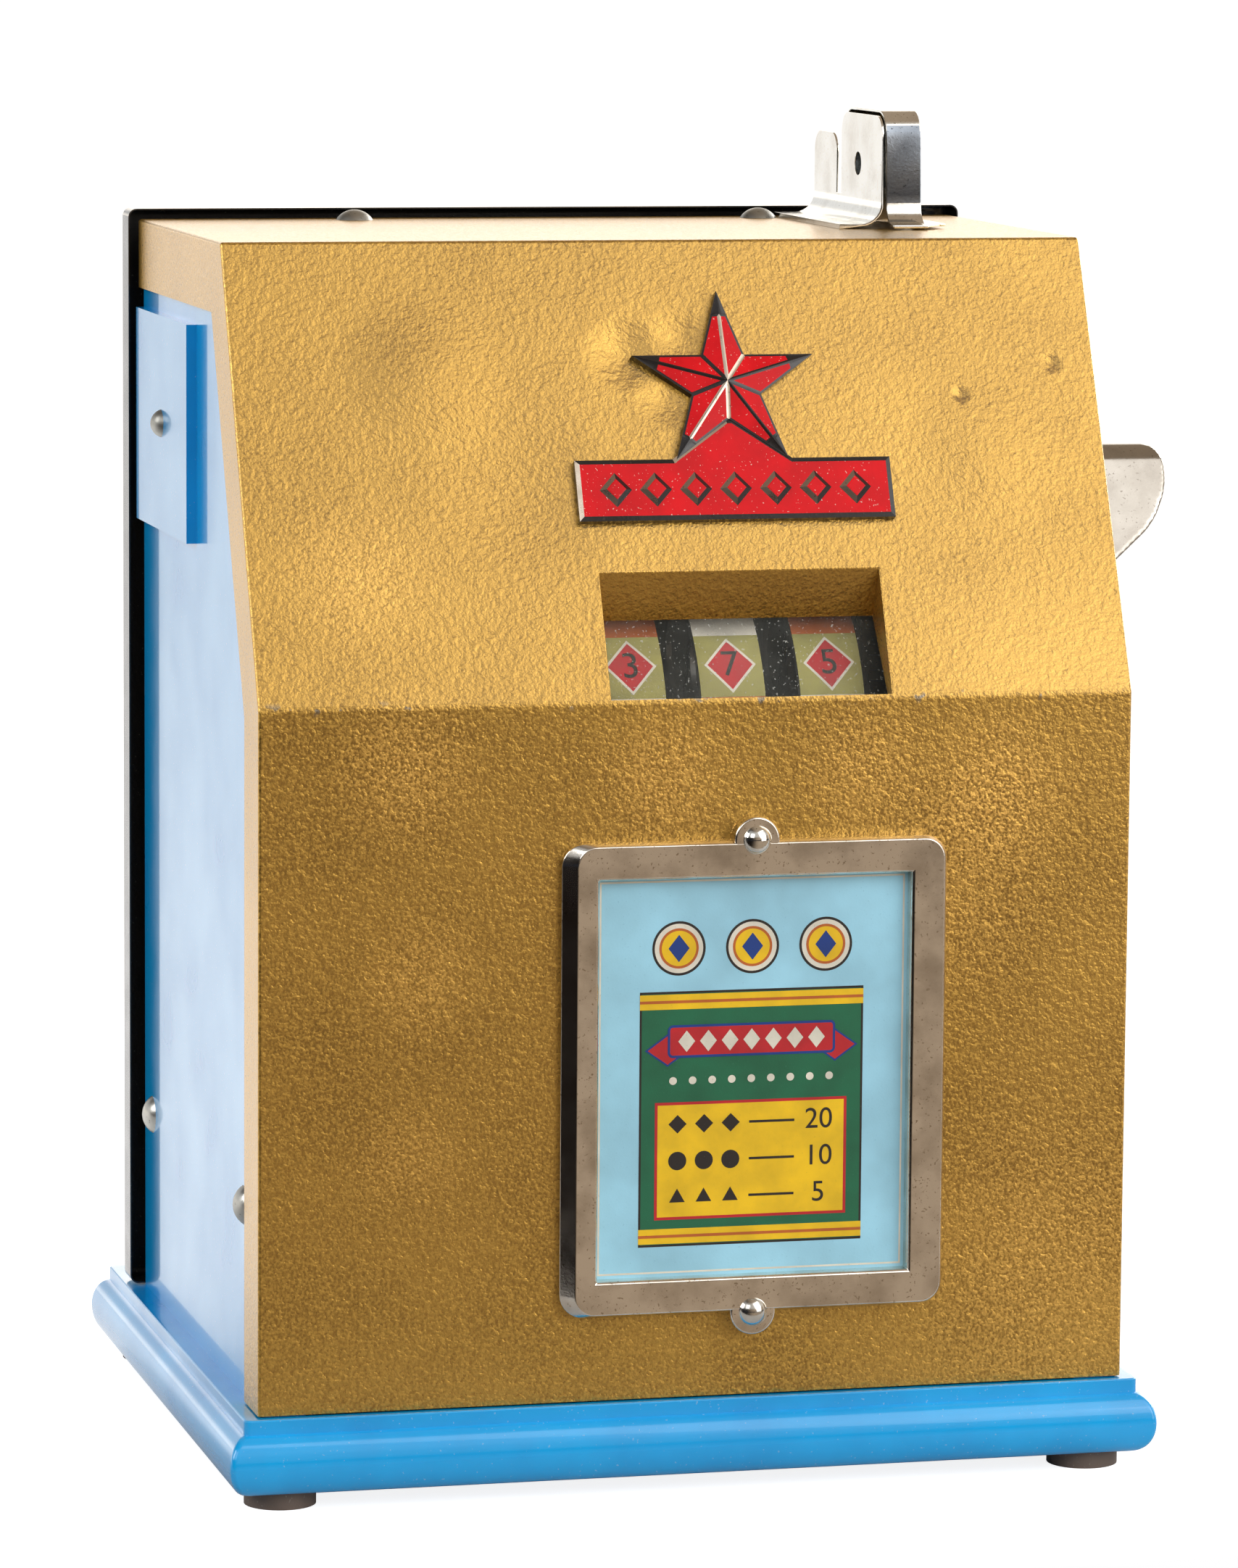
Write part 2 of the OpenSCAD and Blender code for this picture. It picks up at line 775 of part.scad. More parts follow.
module coin_head_cover() {
    inner = head_x + head_t;
    color("gainsboro") difference() {
        translate([0, 0, top_z]) {
            side_view(inner, head_gap + head_t) translate([head_y, 0]) strip_outline();
            side_view(inner + head_gap, head_t) translate([head_y, 0]) tab_shape(head_d, head_h, head_r);
            translate([inner, head_y - head_t - head_front_foot, 0])
                cube([head_gap + head_t, head_front_foot + head_t, head_t]);
            translate([inner + head_gap, head_y - head_t, 0])
                cube([head_t + side_foot, head_d + 2 * head_t, head_t]);
        }
        translate([head_mid_x - slot_w / 2, head_mid_y - slot_l / 2, top_z + head_h - 1])
            cube([slot_w, slot_l, head_t + 2]);
    }
}

module coin_head_rivet() {
    color("gainsboro") translate([head_x + 2 * head_t + head_gap, head_mid_y, rivet_z])
        rotate([0, 90, 0]) dome(rivet_r, rivet_h);
}

// Straight tube for the coins, from the top down to the shelf
module coin_chute() {
    tube_w = slot_w + 2 * chute_t;
    tube_l = slot_l + 2 * chute_t;
    right = head_mid_x + slot_w / 2 + chute_t;
    color("lightsteelblue") difference() {
        union() {
            translate([head_mid_x - tube_w / 2, head_mid_y - tube_l / 2, mech_z])
                cube([tube_w, tube_l, under_top_z - mech_z]);
            translate([head_mid_x - tube_w / 2 - chute_foot, head_mid_y - tube_l / 2, mech_z])
                cube([tube_w + 2 * chute_foot, tube_l, chute_t]);
            for (y = [-trip_w / 2 - ear_gap - ear_t, trip_w / 2 + ear_gap])
                translate([right, head_mid_y + y, trip_z - ear_h / 2])
                    cube([trip_out + ear_past, ear_t, ear_h]);
        }
        translate([head_mid_x - slot_w / 2, head_mid_y - slot_l / 2, mech_z - 1])
            cube([slot_w, slot_l, under_top_z - mech_z + 2]);
        translate([head_mid_x, head_mid_y - trip_w / 2 - trip_play, trip_z - trip_drop])
            cube([slot_w / 2 + chute_t + 1, trip_w + 2 * trip_play, trip_drop + trip_t]);
        trip_bore(fit_gap);
    }
}

module trip_bore(extra) {
    translate([trip_x, head_mid_y + trip_w, trip_z])
        rotate([90, 0, 0]) cylinder(r = trip_pin_r + extra, h = 2 * trip_w);
}

module coin_trip_pin() {
    pin_l = trip_w + 2 * (ear_gap + ear_t) + 1;
    color("silver") translate([trip_x, head_mid_y + pin_l / 2, trip_z])
        rotate([90, 0, 0]) cylinder(r = trip_pin_r, h = pin_l);
}

module coin_trip_lever() {
    tip_x = head_mid_x - slot_w / 2 + trip_tip_gap;
    color("silver") difference() {
        union() {
            translate([tip_x, head_mid_y - trip_w / 2, trip_z - trip_t / 2])
                cube([trip_x + trip_tail - tip_x, trip_w, trip_t]);
            translate([trip_x, head_mid_y + trip_w / 2, trip_z]) rotate([90, 0, 0])
                cylinder(r = trip_pin_r + trip_boss, h = trip_w);
            translate([trip_x + trip_tail - weight_l, head_mid_y - trip_w / 2, trip_z - weight_h / 2])
                cube([weight_l, trip_w, weight_h]);
        }
        trip_bore(run_gap);
    }
}

module side_cover_plate() {
    color("deepskyblue") difference() {
        translate([-side_x - plate_t, back_y - plate_back - plate_d, deck_z + plate_up])
            cube([plate_t, plate_d, plate_h]);
        plate_screw_place() translate([0, 0, plate_t]) screw_hole(plate_t + 1);
    }
}

module side_plate_screw() {
    color("silver") plate_screw_place() translate([0, 0, plate_t])
        dome_screw(stud_r, stud_h, plate_t + plate_screw_in);
}

module side_screws() {
    color("silver") for (side = [-1, 1]) side_screw_places(side) dome_screw(dome_r, dome_h, shell_screw_l);
}

module top_screws() {
    color("silver") top_screw_places() dome_screw(dome_r, dome_h, top_screw_l);
}

module back_door() {
    color("black") difference() {
        translate([-door_w / 2, door_y, door_z]) cube([door_w, door_d, door_h]);
        translate([door_t - door_w / 2, door_y + door_t, door_z + door_t])
            cube([door_w - 2 * door_t, door_d - 2 * door_t, door_h - 2 * door_t]);
        translate([door_lip - door_w / 2, door_y - 1, door_z + door_lip])
            cube([door_w - 2 * door_lip, door_t + 2, door_h - 2 * door_lip]);
        translate([lock_x, door_y + door_d + 1, lock_z]) rotate([90, 0, 0])
            cylinder(r = lock_r + fit_gap, h = door_t + 2);
    }
}

// One knuckle of a hinge, a third of its length, counted from below
module knuckle(z, k) {
    third = hinge_l / 3;
    translate([hinge_x, hinge_y, z - hinge_l / 2 + k * third + hinge_gap / 2])
        cylinder(r = knuckle_r, h = third - hinge_gap);
}

module hinge_bores(extra) {
    for (z = hinge_zs) translate([hinge_x, hinge_y, z - hinge_l / 2 - 1])
        cylinder(r = hinge_pin_r + extra, h = hinge_l + 2);
}

module door_hinge_leaves() {
    third = hinge_l / 3;
    leaf_x = door_w / 2;
    leaf_y = hinge_y + knuckle_r + leaf_gap;
    color("dimgray") difference() {
        for (z = hinge_zs) {
            knuckle(z, 1);
            translate([leaf_x, leaf_y, z - hinge_l / 2])
                cube([leaf_t, door_y + door_d - leaf_y - end_play, hinge_l]);
            translate([leaf_x, hinge_y + 1, z - third / 2 + hinge_gap / 2])
                cube([leaf_t, leaf_y - hinge_y, third - hinge_gap]);
        }
        hinge_bores(run_gap);
    }
}

module case_hinge_leaves() {
    third = hinge_l / 3;
    color("dimgray") difference() {
        for (z = hinge_zs) {
            translate([side_x, hinge_y - hinge_wide - knuckle_r, z - hinge_l / 2])
                cube([leaf_t, hinge_wide, hinge_l]);
            for (k = [0, 2]) {
                knuckle(z, k);
                translate([side_x, hinge_y - knuckle_r, z - hinge_l / 2 + k * third + hinge_gap / 2])
                    cube([hinge_x - side_x, leaf_t, third - hinge_gap]);
            }
        }
        hinge_bores(fit_gap);
    }
}

module hinge_pins() {
    color("silver") for (z = hinge_zs) translate([hinge_x, hinge_y, z - hinge_l / 2])
        cylinder(r = hinge_pin_r, h = hinge_l);
}

module lock_body() {
    color("silver") difference() {
        union() {
            translate([lock_x, door_y + door_d, lock_z]) rotate([90, 0, 0])
                cylinder(r = lock_r, h = lock_l + door_t);
            translate([lock_x, door_y + door_d + lock_flange_t, lock_z]) rotate([90, 0, 0])
                cylinder(r = lock_flange_r, h = lock_flange_t);
        }
        translate([lock_x, door_y + door_d + lock_flange_t + 1, lock_z]) rotate([90, 0, 0])
            cylinder(r = lock_plug_r + run_gap, h = lock_l + lock_flange_t + door_t + 2);
    }
}

module lock_plug() {
    plug_l = lock_l + door_t + lock_flange_t + cam_t;
    color("gold") difference() {
        translate([lock_x, door_y + door_d + lock_flange_t, lock_z]) rotate([90, 0, 0])
            cylinder(r = lock_plug_r, h = plug_l);
        translate([lock_x - key_w / 2, door_y + door_d + lock_flange_t - key_d, lock_z - key_h / 2])
            cube([key_w, key_d + 1, key_h]);
    }
}

module lock_cam() {
    color("gray") difference() {
        translate([lock_x, cam_y + cam_t, lock_z]) rotate([90, 0, 0]) linear_extrude(cam_t) {
            circle(lock_plug_r + cam_rim);
            translate([-cam_w / 2, 0]) square([cam_w, cam_l]);
        }
        translate([lock_x, cam_y + cam_t + 1, lock_z]) rotate([90, 0, 0])
            cylinder(r = lock_plug_r + fit_gap, h = cam_t + 2);
    }
}

// Angle on the left panel that the lock's cam hooks behind
module lock_keeper() {
    color("gray") {
        translate([-inner_x, hook_y, lock_z - keeper_h / 2]) cube([keeper_reach, keeper_t, keeper_h]);
        translate([-inner_x, hook_y - keeper_reach, lock_z + keeper_h / 2 - keeper_reach])
            cube([keeper_t, keeper_reach, keeper_reach]);
        translate([-inner_x, hook_y - keeper_reach, lock_z - keeper_h / 2])
            cube([keeper_t, keeper_reach, keeper_tab]);
    }
}

module shelf_cleats() {
    color("burlywood") difference() {
        for (side = [-1, 1])
            translate([side > 0 ? inner_x - cleat_w : -inner_x, shelf_y - cleat_past, shelf_z - cleat_h])
                cube([cleat_w, shelf_d + 2 * cleat_past, cleat_h]);
        for (side = [-1, 1]) side_screw_places(side) screw_hole(shell_screw_l + hole_past);
    }
}

// Places the four screws that hold the mechanism plates down on the shelf
module mech_screw_places() {
    for (x = [plate_left_x - mech_foot / 2, plate_right_x + mech_t + mech_foot / 2])
        for (y = [tie_front_y, back_screw_y]) translate([x, y, mech_z + mech_t]) children();
}

module mechanism_shelf() {
    color("slategray") difference() {
        translate([end_play - inner_x, shelf_y, shelf_z]) cube([2 * (inner_x - end_play), shelf_d, shelf_t]);
        translate([head_mid_x - slot_w / 2 - end_play, head_mid_y - slot_l / 2 - end_play, shelf_z - 1])
            cube([slot_w + 2 * end_play, slot_l + 2 * end_play, shelf_t + 2]);
        mech_screw_places() screw_hole(mech_t + shelf_t + 1);
    }
}

// Side plate of the mechanism, with bearings for every shaft that meets it
module mech_plate(x, foot_side) {
    difference() {
        union() {
            side_view(x, mech_t) polygon([
                [plate_front_y, mech_z],
                [plate_front_y, axle_z + 10],
                [axle_y - 6, axle_z + 22],
                [handle_y + 14, handle_z + 16],
                [plate_back_y, governor_z + 8],
                [plate_back_y, mech_z]
            ]);
            translate([foot_side > 0 ? x : x - mech_foot, plate_front_y, mech_z])
                cube([mech_foot + mech_t, plate_back_y - plate_front_y, mech_t]);
        }
        wheel_view(x - 1, mech_t + 2, axle_y, axle_z) circle(axle_r + fit_gap);
        wheel_view(x - 1, mech_t + 2, kicker_y, kicker_z) circle(kicker_r + run_gap);
        wheel_view(x - 1, mech_t + 2, stop_y, stop_z) circle(stop_r + fit_gap);
        mech_screw_places() screw_hole(mech_t + 1);
    }
}

module left_mechanism_plate() {
    color("slategray") mech_plate(plate_left_x, -1);
}

module right_mechanism_plate() {
    color("slategray") difference() {
        mech_plate(plate_right_x, 1);
        wheel_view(plate_right_x - 1, mech_t + 2, handle_y, handle_z) circle(shaft_r + run_gap);
        wheel_view(plate_right_x - 1, mech_t + 2, governor_y, governor_z) circle(arbor_r + run_gap);
    }
}

module mechanism_tie_rods() {
    color("silver") for (y = [tie_front_y, tie_back_y])
        wheel_view(plate_inner_x, plate_right_x - plate_inner_x, y, tie_z) circle(tie_r);
}

module mechanism_screws() {
    color("silver") mech_screw_places() {
        cylinder(r = hex_r, h = hex_h, $fn = 6);
        translate([0, 0, -mech_t - shelf_t]) cylinder(r = shank_r, h = mech_t + shelf_t);
    }
}

module reel_axle() {
    color("silver") wheel_view(span_x, span_l, axle_y, axle_z) circle(axle_r);
}

module axle_collars() {
    last = reel_x(3) + hub_half + reel_hub_gap;
    color("gray") wheel_view(last, plate_right_x - last - 0.2, axle_y, axle_z) difference() {
        circle(axle_r + boss_wall);
        circle(axle_r + fit_gap);
    }
}

// Drum on spokes with its stop wheel and kick pins, turning on the axle
module reel(i) {
    x = reel_x(i);
    spoke_r = (reel_r - reel_wall + reel_hub_r) / 2;
    hole_r = (reel_r - reel_wall - reel_hub_r) / 2 - spoke_rim;
    difference() {
        union() {
            wheel_view(x - reel_w / 2, reel_w, axle_y, axle_z) difference() {
                circle(reel_r);
                circle(reel_r - reel_wall);
            }
            wheel_view(x - web_t / 2, web_t, axle_y, axle_z) difference() {
                circle(reel_r - reel_wall / 2);
                for (k = [0 : 5]) rotate(60 * k) translate([spoke_r, 0]) circle(hole_r);
            }
            wheel_view(x - hub_half, 2 * hub_half, axle_y, axle_z) circle(reel_hub_r);
            wheel_view(x + wheel_x, wheel_t, axle_y, axle_z) difference() {
                circle(stop_wheel_r);
                for (k = [0 : stops - 1]) rotate(stop_dir + 360 * k / stops)
                    translate([stop_wheel_r - notch_d, -notch_w / 2]) square([notch_d + 1, notch_w]);
            }
            wheel_view(x + wheel_x + wheel_t, kick_pin_l, axle_y, axle_z)
                for (k = [0 : 5]) rotate(60 * k) translate([kick_circle, 0]) circle(kick_pin_r);
        }
        wheel_view(x - hub_half - 1, 2 * hub_half + 2, axle_y, axle_z) circle(axle_r + run_gap);
    }
}

module reel_1() { color("lightgray") reel(1); }
module reel_2() { color("lightgray") reel(2); }
module reel_3() { color("lightgray") reel(3); }

// Printed paper strip round a drum
module reel_strip(i) {
    wheel_view(reel_x(i) - reel_w / 2, reel_w, axle_y, axle_z) difference() {
        circle(reel_r + strip_t);
        circle(reel_r + fit_gap);
    }
}

module reel_strip_1() { color("darkkhaki") reel_strip(1); }
module reel_strip_2() { color("darkkhaki") reel_strip(2); }
module reel_strip_3() { color("darkkhaki") reel_strip(3); }

module stop_shaft() {
    color("silver") wheel_view(span_x, span_l, stop_y, stop_z) circle(stop_r);
}

// Lever whose tooth drops into a notch of the stop wheel
module stop_lever(i) {
    tooth_l = stop_rho - stop_wheel_r - stop_lift;
    x = reel_x(i);
    difference() {
        union() {
            wheel_view(x + lever_x, wheel_t, stop_y, stop_z) rotate(stop_dir) {
                translate([-lever_w / 2, 0]) square([lever_w, stop_arm + stop_tooth_w / 2]);
                translate([-tooth_l, stop_arm - stop_tooth_w / 2]) square([tooth_l, stop_tooth_w]);
            }
            wheel_view(x + lever_hub_x, lever_hub_l, stop_y, stop_z) circle(stop_hub_r);
        }
        wheel_view(x + lever_hub_x - 1, lever_hub_l + 2, stop_y, stop_z) circle(stop_r + run_gap);
    }
}

module stop_lever_1() { color("gray") stop_lever(1); }
module stop_lever_2() { color("gray") stop_lever(2); }
module stop_lever_3() { color("gray") stop_lever(3); }

module kicker_shaft() {
    color("silver") wheel_view(span_x, gear_x + gear_t + shaft_past - span_x, kicker_y, kicker_z)
        circle(kicker_r);
}

// Gear on a shaft, with a boss towards the plate
module gear(n, shaft, turn, y, z) {
    wheel_view(gear_x, gear_t, y, z) difference() {
        rotate(turn) polygon(gear_points(n));
        circle(shaft + fit_gap);
    }
    wheel_view(gear_x - gear_gap + end_play, gear_gap - end_play, y, z) difference() {
        circle(shaft + boss_wall);
        circle(shaft + fit_gap);
    }
}

module kicker_gear() {
    color("peru") gear(kicker_n, kicker_r, kicker_dir + 180 + 180 / kicker_n, kicker_y, kicker_z);
}

module kicker_fingers() {
    color("gray") for (i = [1 : 3]) wheel_view(reel_x(i) + finger_x, finger_t, kicker_y, kicker_z)
        difference() {
            union() {
                circle(kicker_hub_r);
                rotate(kicker_aim) translate([0, -finger_w / 2]) square([kicker_reach, finger_w]);
            }
            circle(kicker_r + fit_gap);
        }
}

module handle_bushing() {
    color("gold") difference() {
        union() {
            wheel_view(inner_x, panel_t, handle_y, handle_z) circle(bushing_r);
            wheel_view(side_x, bushing_flange_t, handle_y, handle_z) circle(bushing_flange_r);
        }
        wheel_view(inner_x - 1, panel_t + bushing_flange_t + 2, handle_y, handle_z) circle(shaft_r + run_gap);
    }
}

module handle_shaft() {
    color("silver") wheel_view(plate_right_x, hub_x + hub_t - 2 - plate_right_x, handle_y, handle_z)
        circle(shaft_r);
}

// Ball pressed flat, for the rounded thumb paddle
module pebble(x, y, z, rx, ry, rz) {
    translate([x, y, z]) scale([rx, ry, rz]) sphere(1, $fn = 32);
}

module handle_lever() {
    neck_x = hub_x + hub_t / 2;
    paddle_x = case_w / 2 + paddle_out;
    paddle_y = handle_y - paddle_front;
    paddle_z = handle_z + paddle_up;
    mid_y = handle_y - paddle_front / 2;
    mid_z = handle_z + paddle_up / 2;
    color("gainsboro") difference() {
        union() {
            wheel_view(hub_x, hub_t, handle_y, handle_z) circle(hub_r);
            hull() {
                pebble(neck_x, handle_y, handle_z, hub_t / 2 - 0.5, 6, 6);
                pebble(neck_x, mid_y, mid_z, hub_t / 2 - 0.5, 5, 6);
            }
            hull() {
                pebble(neck_x, mid_y, mid_z, hub_t / 2 - 0.5, 5, 6);
                pebble(paddle_x, paddle_y, paddle_z, paddle_r, paddle_t, paddle_r - 2);
                pebble(paddle_x - 2, paddle_y + 7, paddle_z + 6, paddle_r - 3, paddle_t, 7);
            }
        }
        wheel_view(hub_x - 1, hub_t - 1, handle_y, handle_z) circle(shaft_r + fit_gap);
    }
}

module drive_gear() {
    color("peru") gear(drive_n, shaft_r, 0, handle_y, handle_z);
    color("silver") wheel_view(gear_x + gear_t, spring_stud_l, spring_y, stud_z) circle(spring_stud_r);
}

module handle_spring() {
    spring_x = gear_x + gear_t + spring_stud_l / 2;
    color("silver") translate([spring_x, spring_y, spring_z])
        cylinder(r = spring_r, h = stud_z - spring_stud_r - spring_z);
}

module governor_arbor() {
    color("silver") wheel_view(plate_right_x, fan_x + fan_w - plate_right_x, governor_y, governor_z)
        circle(arbor_r);
}

module governor_pinion() {
    color("peru") gear(pinion_n, arbor_r, governor_dir + 180 + 180 / pinion_n, governor_y, governor_z);
}

module governor_fan() {
    color("lightgray") wheel_view(fan_x, fan_w, governor_y, governor_z) difference() {
        union() {
            circle(arbor_r + 2.5);
            square([2 * fan_r, fan_t], center = true);
            square([fan_t, 2 * fan_r], center = true);
        }
        circle(arbor_r + fit_gap);
    }
}

module cash_tray() {
    color("gray") difference() {
        translate([-tray_w / 2, tray_y, deck_z]) cube([tray_w, tray_d, tray_h]);
        translate([tray_t - tray_w / 2, tray_y + tray_t, deck_z + tray_t])
            cube([tray_w - 2 * tray_t, tray_d - 2 * tray_t, tray_h]);
    }
}

base_board();
base_feet();
left_side_panel();
right_side_panel();
top_rail();
front_shell();
window_glass();
card_frame();
award_card();
card_frame_screws();
star_badge();
coin_head_bracket();
coin_head_cover();
coin_head_rivet();
coin_chute();
coin_trip_pin();
coin_trip_lever();
side_cover_plate();
side_plate_screw();
side_screws();
top_screws();
back_door();
door_hinge_leaves();
case_hinge_leaves();
hinge_pins();
lock_body();
lock_plug();
lock_cam();
lock_keeper();
shelf_cleats();
mechanism_shelf();
left_mechanism_plate();
right_mechanism_plate();
mechanism_tie_rods();
mechanism_screws();
reel_axle();
axle_collars();
reel_1();
reel_2();
reel_3();
reel_strip_1();
reel_strip_2();
reel_strip_3();
stop_shaft();
stop_lever_1();
stop_lever_2();
stop_lever_3();
kicker_shaft();
kicker_gear();
kicker_fingers();
handle_bushing();
handle_shaft();
handle_lever();
drive_gear();
handle_spring();
governor_arbor();
governor_pinion();
governor_fan();
cash_tray();
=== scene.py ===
"""Looks of a counter-top reel game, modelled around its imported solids.

All sizes are in metres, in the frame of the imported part: +Z up, -Y towards the player, +X towards the handle.
"""

import json
import logging
import math
from contextlib import contextmanager
from dataclasses import dataclass, field
from enum import Enum
from typing import Any, Callable, Iterator, Sequence

import bmesh
import bpy
from mathutils import Matrix, Vector


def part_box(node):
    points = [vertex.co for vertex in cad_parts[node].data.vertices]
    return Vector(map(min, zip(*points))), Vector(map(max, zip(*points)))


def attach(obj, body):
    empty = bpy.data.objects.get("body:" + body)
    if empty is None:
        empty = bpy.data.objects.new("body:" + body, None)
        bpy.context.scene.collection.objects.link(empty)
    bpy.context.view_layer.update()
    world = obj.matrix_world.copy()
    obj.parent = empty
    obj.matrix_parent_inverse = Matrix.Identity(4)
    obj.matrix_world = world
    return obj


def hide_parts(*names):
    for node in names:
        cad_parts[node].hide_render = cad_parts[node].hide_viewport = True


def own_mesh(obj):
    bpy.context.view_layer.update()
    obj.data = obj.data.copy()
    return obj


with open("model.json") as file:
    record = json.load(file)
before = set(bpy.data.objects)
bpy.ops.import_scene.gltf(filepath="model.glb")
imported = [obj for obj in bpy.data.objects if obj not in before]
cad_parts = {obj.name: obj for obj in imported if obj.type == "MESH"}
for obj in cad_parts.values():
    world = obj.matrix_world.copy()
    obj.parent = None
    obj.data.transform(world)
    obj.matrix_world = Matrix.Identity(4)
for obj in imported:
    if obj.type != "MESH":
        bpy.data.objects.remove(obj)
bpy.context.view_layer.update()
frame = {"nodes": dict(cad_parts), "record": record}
log = logging.getLogger("reel_game")

MM = 0.001
NEAR = 0.1 * MM  # Places this close count as one.
ALONG = 0.9  # Least share of a direction that counts as along an axis.
FLAT = 0.99  # Least share of a normal that counts as square to a face's plane.
ACROSS = 0.1  # Most share of a direction that counts as across an axis.
X, Y, Z = (Vector(axis) for axis in ((1, 0, 0), (0, 1, 0), (0, 0, 1)))

Piece = bpy.types.Object
Tree = bpy.types.NodeTree
Inputs = dict[Any, Any]
Colour = tuple[float, float, float, float]
Pair = tuple[float, float]
Box = tuple[float, float, float, float]
Point = tuple[float, float, float]
Test = Callable[[Vector, Vector], bool]


class Body(Enum):
    """Bodies of the frame that new pieces ride on."""

    CABINET = "cabinet"
    DOOR = "back_door"
    HANDLE = "handle"
    LEFT_REEL = "left_reel"
    MIDDLE_REEL = "middle_reel"
    RIGHT_REEL = "right_reel"


class Part(Enum):
    """What an edit-mode selection is made of."""

    VERTS = "VERT"
    EDGES = "EDGE"
    FACES = "FACE"


def srgb(text: str) -> Colour:
    """Turns a colour into linear light.

    Args:
        text: sRGB hex value, such as "#1290D6".

    Returns:
        Linear red, green and blue, with an alpha of 1.
    """
    parts = [int(text[i:i + 2], 16) / 255 for i in (1, 3, 5)]
    linear = [c / 12.92 if c <= 0.04045 else ((c + 0.055) / 1.055) ** 2.4 for c in parts]
    return (linear[0], linear[1], linear[2], 1.0)


def add(tree: Tree, kind: str, inputs: Inputs | None = None, **settings: Any) -> bpy.types.Node:
    """Adds a node with its settings and links.

    Args:
        tree: Node tree that gets the node.
        kind: Blender's name of the node's type, without the "ShaderNode" that it starts with.
        inputs: Socket name or number to a value, an output or a node, whose first output is then linked.
        settings: The node's own properties.

    Returns:
        The new node.
    """
    node = tree.nodes.new("ShaderNode" + kind)
    for name, value in settings.items():
        setattr(node, name, value)
    for socket, value in (inputs or {}).items():
        if isinstance(value, bpy.types.Node):
            value = value.outputs[0]
        if isinstance(value, bpy.types.NodeSocket):
            tree.links.new(value, node.inputs[socket])
        else:
            node.inputs[socket].default_value = value
    return node


def blank(owner: Any) -> Tree:
    """Clears the node tree of a new material or world.

    Args:
        owner: The material or world.

    Returns:
        Its tree, without nodes.
    """
    owner.use_nodes = True
    owner.node_tree.nodes.clear()
    return owner.node_tree


def cloud(tree: Tree, place: Any, size: float, low: float, high: float, span: Pair = (0.3, 0.7),
          detail: float = 3.0) -> bpy.types.Node:
    """Adds a cloudy pattern of a real size.

    Args:
        tree: Node tree of the material.
        place: Output that gives the place on the object.
        size: Size of one cloud in metres.
        low: Value at the low end of the pattern.
        high: Value at its high end.
        span: The part of the noise that is stretched over low to high.
        detail: Finer layers in the pattern.

    Returns:
        Node with the pattern's value.
    """
    noise = add(tree, "TexNoise", {"Vector": place, "Scale": 1 / size, "Detail": detail})
    return add(tree, "MapRange", {
        "Value": noise.outputs["Fac"], "From Min": span[0], "From Max": span[1],
        "To Min": low, "To Max": high,
    })


def spots(tree: Tree, place: Any, marks: Sequence[Sequence[float]]) -> Any:
    """Adds soft round spots at set places.

    Args:
        tree: Node tree of the material.
        place: Output that gives the place on the object.
        marks: Place, radius and strength of each spot, in millimetres.

    Returns:
        Node with the sum of the spots.
    """
    total: Any = 0.0
    for x, y, z, radius, strength in marks:
        middle = Vector((x, y, z)) * MM
        reach = add(tree, "VectorMath", {0: place, 1: middle}, operation="DISTANCE")
        spot = add(tree, "MapRange", {
            "Value": reach.outputs["Value"], "From Max": radius * MM, "To Min": strength, "To Max": 0.0,
        }, interpolation_type="SMOOTHSTEP")
        total = add(tree, "Math", {0: spot, 1: total})
    return total


def zone(tree: Tree, place: Any, *edges: tuple[str, float, float], level: float = 1.0) -> Any:
    """Adds a zone with soft edges.

    Args:
        tree: Node tree of the material or the world.
        place: Output that gives the place or the direction.
        edges: Each edge's axis, where the zone is off and where it is on.
        level: Value inside the zone.

    Returns:
        Node with the zone's value.
    """
    parts = add(tree, "SeparateXYZ", {"Vector": place})
    inside: Any = level
    for axis, off, on in edges:
        step = add(tree, "MapRange", {
            "Value": parts.outputs[axis], "From Min": off, "From Max": on,
        }, interpolation_type="SMOOTHSTEP")
        inside = add(tree, "Math", {0: step, 1: inside}, operation="MULTIPLY")
    return inside


FOLD = 221 * MM  # Height of the fold between the upright front and the slope.


@dataclass(frozen=True)
class Finish:
    """A surface finish, made once as a material of its name."""

    name: str
    colour: str

    def material(self) -> bpy.types.Material:
        """Makes the material at its first use.

        Returns:
            The finish's material.
        """
        made = bpy.data.materials.get(self.name)
        if made is None:
            made = bpy.data.materials.new(self.name)
            made.diffuse_color = srgb(self.colour)
            tree = blank(made)
            place = add(tree, "TexCoord").outputs["Object"]
            shader = add(tree, "BsdfPrincipled", self.surface(tree, place))
            add(tree, "OutputMaterial", {"Surface": shader})
        return made

    def surface(self, tree: Tree, place: Any) -> Inputs:
        """Adds the finish's patterns.

        Args:
            tree: Node tree of the material.
            place: Output that gives the place on the object.

        Returns:
            Inputs of the Principled shader.
        """
        raise NotImplementedError


